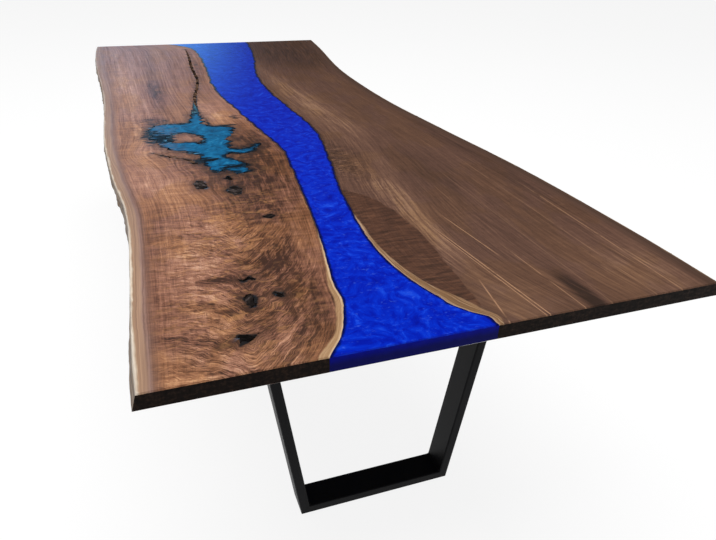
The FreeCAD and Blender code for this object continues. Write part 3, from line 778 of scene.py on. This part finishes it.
def pinstripes(finish, rows):
    """Thin pale lines along a slab: where each starts and ends, its half width and its strength."""
    place = finish.place()
    across, along_slab = finish.split(place, 0), finish.split(place, 1)
    total = 0.0
    for (start_x, start_y), (end_x, end_y), half_width, strength in rows:
        lean = (end_x - start_x) / (end_y - start_y)
        middle = finish.sum("MULTIPLY_ADD", along_slab, lean, start_x - lean * start_y)
        away = finish.sum("ABSOLUTE", finish.sum("SUBTRACT", across, middle))
        stripe = finish.fade(away, half_width * 1.6, half_width * 0.4, 0.0, strength)
        fading = (end_y - start_y) * 0.4
        stripe = finish.sum("MULTIPLY", stripe, finish.fade(along_slab, end_y, end_y - fading))
        stripe = finish.sum("MULTIPLY", stripe, finish.fade(along_slab, start_y - 0.06, start_y))
        total = finish.sum("MAXIMUM", total, stripe)
    broken = finish.noise(finish.stretch(place, (30, 22, 1)), 1.0, 3.0, 0.6)
    return finish.sum("MULTIPLY", total, finish.fade(broken, 0.28, 0.52))


print("grain helpers ready")

# %% [markdown]
# ## Heartwood
# The ramp alone would give one brown. Real heartwood is warmer and cooler in clouds, and on the right slab it
# is darker and rippled inside a lens beside the bank. Golden glints where the figure is lively are painted
# highlight.

# %% Colour the heartwood
def heartwood(finish, looks, value, bent):
    """The ramp over the figure, tinted in clouds, with glints of painted highlight, pores and pinstripes."""
    shade = finish.ramp(value, looks["heartwood"])
    tint = finish.noise(finish.stretch(finish.place(), (9, 5, 5)), 1.0, 3.0, 0.6)
    golden = finish.mix(1.0, shade, (1.06, 0.97, 0.80, 1), "MULTIPLY")
    rosy = finish.mix(1.0, shade, (1.02, 0.97, 1.08, 1), "MULTIPLY")
    shade = finish.mix(finish.fade(tint, 0.56, 0.44, 0.0, looks["tint"]), shade, rosy)
    shade = finish.mix(finish.fade(tint, 0.46, 0.58, 0.0, looks["tint"]), shade, golden)
    # Painted highlight: golden glints where the figure is lively.
    painted_glint = finish.noise(finish.stretch(bent, (30, 60, 20)), 1.0, 3.0, 0.6, 1.0)
    painted_glint = finish.sum("MULTIPLY", finish.fade(painted_glint, 0.50, 0.68), finish.fact("figure"))
    shade = finish.mix(finish.sum("MULTIPLY", painted_glint, looks["painted_glint"]), shade, colour(212, 152, 98))
    pores = finish.noise(finish.stretch(bent, (1500, 40, 400)), 1.0, 1.0, 0.5)
    shade = finish.mix(finish.fade(pores, 0.60, 0.70, 0.0, 0.5), shade, colour(46, 29, 21))
    if looks["stripes"]:
        shade = finish.mix(pinstripes(finish, looks["stripes"]), shade, colour(186, 142, 108))
    return shade, pores


def add_lens(finish, looks, shade, lines, fine, bent):
    """Darker rippled wood inside the lens beside the bank."""
    ripples = finish.noise(finish.stretch(bent, (22, 80, 20)), 1.0, 4.0, 0.65, 0.8)
    lens = finish.layer(finish.fact("lens"), lines, 0.010)
    border = finish.noise(finish.stretch(finish.place(), (60, 14, 1)), 1.0, 4.0, 0.65)
    lens = finish.layer(lens, border, 0.022)
    dark_wood = finish.ramp(finish.layer(ripples, fine, 0.4), looks["lens"])
    return finish.mix(finish.fade(lens, -0.002, 0.002), shade, dark_wood)


print("heartwood helpers ready")

# %% [markdown]
# ## Stains and scorches
# Rotten hollows are cleaned out with a flame before the resin goes in, so brown stains and black scorches
# ring them. Separate chips of black would look stuck on. A ragged noise is taken off the distance to the
# resin instead. The marks stay near the top face, because the hollows do not reach the underside.

# %% Stain and scorch
def scorched(finish):
    """Ragged black patches where the hollow was charred clean."""
    crumbs = finish.noise(finish.stretch(finish.place(), (24, 110, 50)), 1.0, 4.0, 0.68)
    return finish.fade(finish.layer(finish.fact("scorch"), crumbs, 1.6), 0.50, 0.64)


def add_stains(finish, looks, shade):
    place = finish.place()
    upper = finish.fade(finish.split(place, 2), table_top - 0.025, table_top - 0.015)
    ragged = finish.noise(place, 55.0, 3.0, 0.6)
    drifted = finish.noise(finish.stretch(place, (16, 34, 20)), 1.0, 3.0, 0.6)
    pool = finish.sum("MULTIPLY_ADD", ragged, -0.016, finish.fact("pool"))
    pool = finish.sum("MULTIPLY_ADD", drifted, -0.030, pool)
    knot = finish.sum("MULTIPLY_ADD", ragged, -0.018, finish.fact("knot"))
    stain = finish.sum("MAXIMUM", finish.fade(pool, 0.022, -0.020), finish.fade(knot, 0.014, -0.008))
    stain = finish.sum("MULTIPLY", stain, upper)
    shade = finish.mix(finish.sum("MULTIPLY", stain, 0.55), shade, colour(60, 38, 24))
    burnt = finish.sum("MAXIMUM", finish.fade(pool, -0.015, -0.020), finish.fade(knot, -0.004, -0.008))
    burnt = finish.sum("MAXIMUM", burnt, scorched(finish))
    shade = finish.mix(finish.sum("MULTIPLY", burnt, upper), shade, colour(18, 14, 14))
    inlet = finish.layer(finish.fact("channel"), ragged, 0.006)
    inlet_lip = finish.sum("MULTIPLY", finish.fade(inlet, -0.004, -0.001), upper)
    inlet_resin = finish.sum("MULTIPLY", finish.fade(inlet, 0.000, 0.003), upper)
    shade = finish.mix(inlet_lip, shade, colour(20, 16, 18))
    return finish.mix(inlet_resin, shade, finish.ramp(ragged, looks["inlet"]))


print("stain helpers ready")

# %% [markdown]
# ## Sapwood and natural edge
# The last rings of a tree stay pale. They show as a cream strip along the banks at the near end and as a
# banded rim along the natural edge, and the wall below the rim is weathered. The brightest line right at the
# rim is a painted highlight of the eased edge. A strip of its own for each would leave a hard seam. All three
# are read from the distances to the lines instead, with a slow noise so that no border is ruled.

# %% Lay the sapwood and the rim
rim_band_width = 0.046


def wandering(finish, distance, strength):
    """A distance that wanders a little along the table."""
    wander = finish.noise(finish.stretch(finish.place(), (40, 14, 40)), 1.0, 2.0)
    return finish.layer(distance, wander, strength)


def add_sapwood(finish, looks, shade, lines, fine):
    bank, width = finish.fact("bank"), finish.fact("sapwood")
    border = wandering(finish, bank, 0.008)
    at_bank = finish.fade(finish.sum("SUBTRACT", border, width), 0.0022, -0.0022)
    streaks = finish.layer(lines, fine, 0.8)
    streaks = finish.sum("ADD", streaks, finish.fade(bank, 0.006, 0.002, 0.0, 0.25))
    shade = finish.mix(at_bank, shade, finish.ramp(streaks, looks["sapwood"]))
    no_sapwood = finish.sum("SUBTRACT", 1.0, finish.fade(width, 0.0, 0.004))
    lip = finish.sum("MULTIPLY", finish.fade(border, 0.006, 0.002), no_sapwood)
    shade = finish.mix(finish.sum("MULTIPLY", lip, 0.8), shade, colour(34, 25, 22))
    return finish.mix(finish.fade(bank, 0.0016, 0.0006, 0.0, 0.7), shade, colour(40, 30, 26))


def add_rim(finish, looks, shade, bent):
    """The banded rim and the wall below it. Gives the colour and where the wall is."""
    place = finish.place()
    rim = finish.fact("rim")
    border = wandering(finish, rim, 0.010)
    # The first stops of the rim ramp are a painted highlight along the eased edge; the rest is the pale band
    # of the last rings.
    band = finish.ramp(finish.sum("DIVIDE", border, rim_band_width), looks["rim"])
    streaks = finish.noise(finish.stretch(bent, (420, 2.2, 60)), 1.0, 3.0, 0.65)
    greys = finish.ramp(streaks, [(0.32, (0.58, 0.54, 0.52, 1)), (0.66, (1.0, 1.0, 1.0, 1))])
    band = finish.mix(1.0, band, greys, "MULTIPLY")
    by_length = finish.fade(finish.split(place, 1), 0.6, -0.2, looks["far_rim"], 1.0)
    at_rim = finish.sum("MULTIPLY", finish.fade(border, 0.048, 0.018), by_length)
    shade = finish.mix(at_rim, shade, band)
    lengthwise = finish.noise(finish.stretch(place, (60, 9, 170)), 1.0, 4.0, 0.65)
    below = finish.fade(finish.split(place, 2), table_top - 0.0012, table_top - 0.004)
    on_wall = finish.sum("MULTIPLY", below, finish.fade(rim, 0.008, 0.003))
    return finish.mix(on_wall, shade, finish.ramp(lengthwise, looks["wall"])), on_wall


print("edge helpers ready")

# %% [markdown]
# ## Two boards, one recipe
# Both slabs take the same steps. What differs, such as how lively the figure is and the colours of each ramp,
# is written down in one set of looks for each slab.

# %% Mix the walnut
def walnut(name, looks):
    finish = Finish(name)
    value, lines, fine, bent = grain_layers(finish, looks)
    shade, pores = heartwood(finish, looks, value, bent)
    shade = add_lens(finish, looks, shade, lines, fine, bent)
    shade = add_stains(finish, looks, shade)
    shade = add_sapwood(finish, looks, shade, lines, fine)
    shade, on_wall = add_rim(finish, looks, shade, bent)
    finish.set(
        Base_Color=shade, Roughness=finish.fade(lines, 0.2, 0.8, 0.42, 0.32),
        Specular_IOR_Level=finish.fade(on_wall, 0.0, 1.0, 0.25, 0.03), IOR=1.45)
    finish.bump(finish.sum("MULTIPLY_ADD", pores, 0.5, fine), 0.00006)
    return finish.material


left_looks = {
    # The glint strength sets how much painted highlight lies on the figure.
    "curl": 0.42, "contrast": 0.60, "feather": 1.45, "painted_glint": 0.55, "mottle": (60, 16, 30), "stripes": [],
    "lines": (190, 3.2, 70), "bands": 0.6, "tint": 0.8, "far_rim": 0.45,
    "heartwood": [
        (0.08, colour(64, 40, 27)), (0.34, colour(120, 80, 58)), (0.52, colour(152, 107, 81)),
        (0.70, colour(178, 130, 99)), (0.95, colour(212, 168, 134)),
    ],
    "lens": [(0.2, colour(48, 36, 28)), (0.8, colour(104, 74, 54))],
    "inlet": [(0.35, colour(22, 50, 62)), (0.55, colour(58, 104, 122)), (0.7, colour(96, 128, 130))],
    "sapwood": [(0.25, colour(132, 98, 67)), (0.5, colour(174, 136, 98)), (0.85, colour(214, 184, 150))],
    "rim": [
        # The first two stops paint a highlight along the eased edge.
        (0.0, colour(240, 226, 208)), (0.06, colour(222, 200, 176)), (0.12, colour(182, 146, 118)),
        (0.40, colour(184, 148, 124)), (0.50, colour(164, 132, 120)), (0.66, colour(136, 103, 90)),
        (1.0, colour(146, 105, 84)),
    ],
    "wall": [
        (0.32, colour(62, 48, 37)), (0.44, colour(128, 102, 78)),
        (0.58, colour(166, 136, 106)), (0.75, colour(200, 173, 143)),
    ],
}
right_looks = {
    # The glint strength sets how much painted highlight lies on the figure.
    "curl": 0.16, "contrast": 0.52, "feather": 2.2, "painted_glint": 0.10, "mottle": (120, 6, 30),
    "lines": (280, 8, 90), "bands": 0.30, "tint": 0.4, "far_rim": 1.0,
    "stripes": [
        ((0.166, -1.367), (0.116, -0.90), 0.0012, 0.85), ((0.158, -1.367), (0.110, -0.90), 0.0010, 0.75),
        ((0.467, -1.37), (0.470, -0.70), 0.0017, 0.45), ((0.192, -1.10), (0.170, -0.90), 0.0012, 0.7),
        ((0.242, -1.365), (0.226, -1.05), 0.0011, 0.5), ((0.405, -1.37), (0.405, -0.4), 0.0012, 0.25),
        ((0.302, -1.37), (0.302, -0.5), 0.0012, 0.2), ((0.082, -1.37), (0.108, -1.20), 0.0014, 0.7),
    ],
    "heartwood": [
        (0.10, colour(55, 39, 31)), (0.36, colour(83, 59, 47)), (0.52, colour(99, 71, 57)),
        (0.68, colour(117, 86, 68)), (0.92, colour(152, 117, 90)),
    ],
    "lens": [(0.25, colour(54, 37, 28)), (0.5, colour(82, 54, 41)), (0.75, colour(112, 76, 56))],
    "inlet": [(0.0, colour(20, 20, 20)), (1.0, colour(30, 30, 30))],
    "sapwood": [(0.25, colour(104, 76, 52)), (0.5, colour(138, 103, 71)), (0.85, colour(188, 158, 130))],
    "rim": [
        # The first two stops paint a highlight along the eased edge.
        (0.0, colour(146, 122, 98)), (0.05, colour(116, 90, 72)), (0.12, colour(88, 66, 54)),
        (0.5, colour(94, 69, 57)), (1.0, colour(101, 75, 62)),
    ],
    "wall": [
        (0.30, colour(58, 46, 38)), (0.42, colour(98, 80, 66)),
        (0.58, colour(130, 108, 90)), (0.75, colour(160, 138, 116)),
    ],
}
left_slab.data.materials.append(walnut("left_walnut", left_looks))
right_slab.data.materials.append(walnut("right_walnut", right_looks))
print("walnut mixed")

# %% [markdown]
# ## Sawn ends
# The ends of the slabs are sawn across the grain. End grain drinks the oil and turns dark, and it stays matt;
# its nearly black colour here is also painted shade. It could be a mask inside the walnut, but its dull
# surface needs a shine of its own, so the end faces are picked by their place and get a second material.

# %% Mix the end grain
def end_grain(name):
    finish = Finish(name)
    bent = finish.fact("grain", "Vector")
    rings = finish.noise(finish.stretch(bent, (90, 1, 160)), 1.0, 3.0, 0.6)
    saw_marks = finish.noise(finish.stretch(finish.place(), (260, 1, 14)), 1.0, 2.0, 0.5)
    pores = finish.noise(finish.stretch(bent, (900, 1, 900)), 1.0, 1.0, 0.5)
    # Painted shade: the ramp is darker than oiled end grain, nearly black.
    shade = finish.ramp(finish.layer(rings, saw_marks, 0.3), [
        (0.25, colour(15, 10, 8)), (0.5, colour(30, 21, 17)), (0.75, colour(56, 40, 31))])
    shade = finish.mix(finish.fade(pores, 0.62, 0.70, 0.0, 0.6), shade, colour(10, 7, 6))
    finish.set(
        Base_Color=shade, Roughness=finish.fade(rings, 0.2, 0.8, 0.65, 0.5), Specular_IOR_Level=0.08)
    finish.bump(saw_marks, 0.00008)
    return finish.material


def face_ends(piece, material):
    """Gives the two sawn end faces of a piece a material of their own."""
    piece.data.materials.append(material)
    chosen = []
    for face in piece.data.polygons:
        chosen.append(abs(face.normal.y) > 0.9 and abs(abs(face.center.y) - far_end) < 0.002)
    pick_inside(piece, "FACE", chosen)
    piece.active_material_index = len(piece.data.materials) - 1
    bpy.ops.object.material_slot_assign()
    bpy.ops.object.mode_set(mode="OBJECT")
    print(piece.name, "end faces", sum(chosen))


sawn_walnut = end_grain("sawn_walnut_ends")
face_ends(left_slab, sawn_walnut)
face_ends(right_slab, sawn_walnut)

# %% [markdown]
# ## Pearl resin
# Clear resin is coloured with pearl mica, which drifts in slow clouds while the resin sets and leaves fine
# bright flecks. Two layers of noise give the clouds and the flecks. The casting is painted darker along the
# banks, as painted shade where the wood shades it, and its cut ends get a darker colour as painted shade.

# %% Mix the resins
def pearl_resin(name, clouds, fleck, bank_shade_and_char, border, shine=0.25, extra=None):
    finish = Finish(name)
    place = finish.place()
    drift = finish.noise(place, 7.0, 2.0, 0.5, output="Color")
    drifted = finish.shift(finish.stretch(drift, (0.16, 0.16, 0.05)), place)
    cloud = finish.noise(drifted, 42.0, 5.0, 0.66, 0.3)
    if extra == "frost":
        cloud = finish.sum("MULTIPLY_ADD", finish.fact("frost"), 0.2, cloud)
    shade = finish.ramp(cloud, clouds)
    grit = finish.noise(finish.stretch(place, (90, 150, 120)), 1.0, 3.0, 0.62)
    shade = finish.mix(finish.fade(grit, 0.57, 0.78, 0.0, 0.32), shade, fleck)
    if border:
        # Painted shade: the resin is darkened towards the banks.
        edge = finish.layer(finish.fact("bank"), finish.noise(place, 40.0, 3.0, 0.6), border)
        shade = finish.mix(finish.fade(edge, border, border * 0.3, 0.0, 0.9), shade, bank_shade_and_char)
    if extra == "scorch":
        threads = finish.noise(finish.stretch(place, (30, 140, 1)), 1.0, 3.0, 0.6)
        left_end = finish.fade(finish.split(place, 0), -0.30, -0.43)
        milky = finish.sum("MULTIPLY", left_end, finish.fade(threads, 0.42, 0.58))
        shade = finish.mix(milky, shade, colour(96, 108, 130))
        # The scorch marks are real char and take the same dark colour.
        shade = finish.mix(scorched(finish), shade, bank_shade_and_char)
    finish.set(
        Base_Color=shade, Roughness=finish.fade(cloud, 0.3, 0.7, 0.14, 0.10),
        IOR=1.5, Specular_IOR_Level=shine)
    finish.bump(cloud, 0.000012)
    return finish.material


def cast_end():
    """The ground end of the river in painted shade, darker than the top, bright at its upper edge and dark
    below.
    """
    finish = Finish("river_ends")
    place = finish.place()
    cloud = finish.noise(place, 60.0, 4.0, 0.6)
    height = finish.layer(finish.split(place, 2), cloud, 0.010)
    rise = finish.fade(height, table_top - 0.020, table_top)
    # Painted shade: a darker blue than the top, darkest towards the bottom.
    shade = finish.mix(rise, colour(0, 6, 116), colour(0, 18, 196))
    finish.set(
        Base_Color=shade, Roughness=finish.fade(cloud, 0.3, 0.7, 0.4, 0.3), Specular_IOR_Level=0.08)
    finish.bump(cloud, 0.00004)
    return finish.material


river_clouds = [
    (0.24, colour(0, 14, 146)), (0.42, colour(0, 28, 176)),
    (0.58, colour(2, 46, 200)), (0.76, colour(30, 84, 230)),
]
# The river's last colour is the painted shade along its banks.
river_resin = pearl_resin("river_resin", river_clouds, colour(84, 128, 246), colour(0, 3, 46), 0.008)
river.data.materials.append(river_resin)
face_ends(river, cast_end())

pool_clouds = [
    (0.28, colour(6, 56, 88)), (0.45, colour(10, 88, 132)),
    (0.60, colour(18, 112, 162)), (0.76, colour(60, 150, 190)),
]
# The pool's dark colour is both the painted shade along its rim and its real scorch.
pool_resin = pearl_resin(
    "pool_resin", pool_clouds, colour(84, 160, 188), colour(8, 22, 34), 0.012, extra="scorch")
dark_clouds = [
    (0.30, colour(8, 7, 7)), (0.52, colour(18, 15, 14)),
    (0.66, colour(42, 36, 34)), (0.80, colour(98, 88, 86)),
]
dark_resin = pearl_resin("dark_resin", dark_clouds, colour(62, 56, 54), colour(6, 5, 5), 0, 0.05, "frost")
crack_clouds = [
    (0.36, colour(14, 11, 11)), (0.48, colour(44, 34, 30)),
    (0.56, colour(104, 80, 64)), (0.70, colour(128, 104, 88)),
]
crack_resin = pearl_resin("crack_resin", crack_clouds, colour(96, 92, 100), colour(10, 8, 10), 0, 0.0)
pool.data.materials.append(pool_resin)
crack_fills.data.materials.append(crack_resin)
knot_fills.data.materials.append(dark_resin)
print("resins mixed")

# %% [markdown]
# ## Steel, brass and plastic
# The frames are powder coated: a matt black skin with a fine orange peel. The bolts and studs are zinc
# plated, the threaded inserts brass and the foot pads moulded plastic. The CAD shapes are right, so the nodes
# stay and only their materials change.

# %% Mix the metals and the plastic
def powder_coat():
    finish = Finish("black_powder_coat")
    place = finish.place()
    peel = finish.noise(place, 900.0, 2.0, 0.5)
    dust = finish.noise(place, 6.0, 4.0, 0.6)
    finish.set(
        Base_Color=finish.ramp(dust, [(0.3, colour(22, 22, 25)), (0.7, colour(32, 32, 34))]),
        Roughness=finish.fade(peel, 0.3, 0.7, 0.40, 0.55), Specular_IOR_Level=0.1)
    finish.bump(peel, 0.00008)
    return finish.material


def bright_metal(name, dark, light, stretch, roughness):
    finish = Finish(name)
    place = finish.place()
    brush = finish.noise(finish.stretch(place, stretch), 1.0, 3.0, 0.6)
    finish.set(
        Base_Color=finish.ramp(brush, [(0.3, dark), (0.7, light)]), Metallic=1.0,
        Roughness=finish.fade(brush, 0.2, 0.8, roughness, roughness + 0.15))
    finish.bump(brush, 0.00004)
    return finish.material


def moulded_plastic():
    finish = Finish("moulded_black_plastic")
    place = finish.place()
    spark = finish.noise(place, 1400.0, 2.0, 0.5)
    finish.set(
        Base_Color=finish.ramp(spark, [(0.3, colour(20, 20, 20)), (0.7, colour(34, 34, 35))]),
        Roughness=finish.fade(spark, 0.3, 0.7, 0.5, 0.7))
    finish.bump(spark, 0.00005)
    return finish.material


black_coat = powder_coat()
zinc = bright_metal("zinc_plate", colour(150, 150, 150), colour(186, 186, 182), (300, 300, 40), 0.3)
brass = bright_metal("plain_brass", colour(176, 140, 70), colour(208, 172, 98), (200, 200, 60), 0.28)
plastic = moulded_plastic()

for weld in welds:
    weld.data.materials.append(black_coat)
node_finishes = {
    "mounting_plate": black_coat, "left_post": black_coat, "right_post": black_coat, "foot_rail": black_coat,
    "bolts": zinc, "washers": zinc, "rivet_nuts": zinc, "foot_stud": zinc,
    "wood_inserts": brass, "foot_pad": plastic,
}
dressed = 0
for node_name, node in nodes.items():
    for ending, material in node_finishes.items():
        if node_name.endswith(ending):
            node.data.materials.clear()
            node.data.materials.append(material)
            dressed += 1
print("CAD nodes dressed", dressed)

# %% [markdown]
# ## Join the pieces to the CAD
# Each new piece rides on the table body and stands for the node that it was copied from.

# %% Ride and replace
stand_ins = [
    (left_slab, "left_slab", "walnut_left"),
    (right_slab, "right_slab", "walnut_right"),
    (river, "river_casting", "river_resin"),
    (pool, "pool_casting", "pool_resin"),
    (crack_fills, "crack_fills", "dark_resin"),
    (knot_fills, "knot_fills", "dark_resin"),
]
for piece, node, slot in stand_ins:
    pick_only(piece)
    bpy.ops.object.shade_smooth_by_angle(angle=math.radians(35))
    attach(piece, "table")
    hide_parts(node)
    print(piece.name, "stands for", node)
for weld in welds:
    pick_only(weld)
    bpy.ops.object.shade_smooth()
    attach(weld, "table")

# %% [markdown]
# ## The studio
# A white floor, a dim even sky and one large soft light overhead, which leaves the cut ends and the legs dark
# as in the picture. The floor shows white to the camera and in reflections, and still takes the shadow of the
# table.

# %% Floor
bpy.ops.object.select_all(action="DESELECT")
bpy.ops.mesh.primitive_plane_add(size=60, location=(0, 0, -0.0004))
floor = bpy.context.object
floor.name = "studio_floor"
floor_paint = Finish("white_floor")
ray = floor_paint.tree.nodes.new("ShaderNodeLightPath")
seen = floor_paint.sum("MAXIMUM", ray.outputs["Is Camera Ray"], ray.outputs["Is Glossy Ray"])
seen = floor_paint.sum("MAXIMUM", seen, ray.outputs["Is Transmission Ray"])
unseen_grey, seen_grey, seen_glow = (0.3, 0.3, 0.3, 1), (0.16, 0.16, 0.16, 1), 0.88
floor_paint.set(
    Base_Color=floor_paint.mix(seen, unseen_grey, seen_grey), Roughness=1.0, Specular_IOR_Level=0.0,
    Emission_Color=(1, 1, 1, 1), Emission_Strength=floor_paint.sum("MULTIPLY", seen, seen_glow))
floor.data.materials.append(floor_paint.material)
print("floor laid")

# %% Sky and ceiling light
world = bpy.data.worlds.new("studio_sky")
bpy.context.scene.world = world
world.use_nodes = True
sky = world.node_tree
backdrop = sky.nodes["Background"]
direction = sky.nodes.new("ShaderNodeTexCoord")
parts = sky.nodes.new("ShaderNodeSeparateXYZ")
sky.links.new(direction.outputs["Generated"], parts.inputs[0])


def sky_fade(axis, start, end, low, high):
    node = sky.nodes.new("ShaderNodeMapRange")
    node.interpolation_type = "SMOOTHSTEP"
    for socket, value in (("From Min", start), ("From Max", end), ("To Min", low), ("To Max", high)):
        node.inputs[socket].default_value = value
    sky.links.new(parts.outputs[axis], node.inputs["Value"])
    return node.outputs[0]


def sky_sum(operation, first, second):
    node = sky.nodes.new("ShaderNodeMath")
    node.operation = operation
    sky.links.new(first, node.inputs[0])
    sky.links.new(second, node.inputs[1])
    return node.outputs[0]


walls = sky_fade("Y", -0.1, 0.5, 0.20, 0.05)
overhead = sky_fade("Z", 0.70, 0.9, 0.0, 0.3)
sky.links.new(sky_sum("MAXIMUM", walls, overhead), backdrop.inputs["Strength"])
backdrop.inputs["Color"].default_value = (1, 1, 1, 1)

# A pale blue light low over the far end, as from a window, which veils the far end of the top.
window = sky.nodes.new("ShaderNodeBackground")
window.inputs["Color"].default_value = (0.18, 0.60, 1.0, 1)
window_low = sky_fade("Z", 0.31, 0.14, 0.0, 2.4)
window_ahead = sky_fade("Y", 0.3, 0.8, 0.0, 1.0)
window_left = sky_fade("X", -0.12, -0.04, 0.0, 1.0)
window_right = sky_fade("X", 0.22, 0.0, 0.0, 1.0)
window_height = sky_sum("MULTIPLY", window_low, window_ahead)
window_width = sky_sum("MULTIPLY", window_left, window_right)
sky.links.new(sky_sum("MULTIPLY", window_height, window_width), window.inputs["Strength"])
both = sky.nodes.new("ShaderNodeAddShader")
sky.links.new(backdrop.outputs[0], both.inputs[0])
sky.links.new(window.outputs[0], both.inputs[1])

# Past the edge of the floor the camera sees plain white. Only what it sees changes, not the light.
white = sky.nodes.new("ShaderNodeBackground")
white.inputs["Color"].default_value = (0.94, 0.94, 0.94, 1)
sky_ray = sky.nodes.new("ShaderNodeLightPath")
seen_sky = sky.nodes.new("ShaderNodeMixShader")
sky.links.new(sky_ray.outputs["Is Camera Ray"], seen_sky.inputs[0])
sky.links.new(both.outputs[0], seen_sky.inputs[1])
sky.links.new(white.outputs[0], seen_sky.inputs[2])
sky.links.new(seen_sky.outputs[0], sky.nodes["World Output"].inputs["Surface"])

bpy.ops.object.light_add(type="AREA", location=(-0.4, -0.2, 6.0))
ceiling_light = bpy.context.object
ceiling_light.name = "ceiling_light"
ceiling_light.data.shape = "RECTANGLE"
ceiling_light.data.size = 6.5
ceiling_light.data.size_y = 6.0
ceiling_light.data.energy = 375
print("ceiling light", ceiling_light.data.energy, "watts")

# %% Finish
scene = bpy.context.scene
scene.view_settings.view_transform = "Standard"
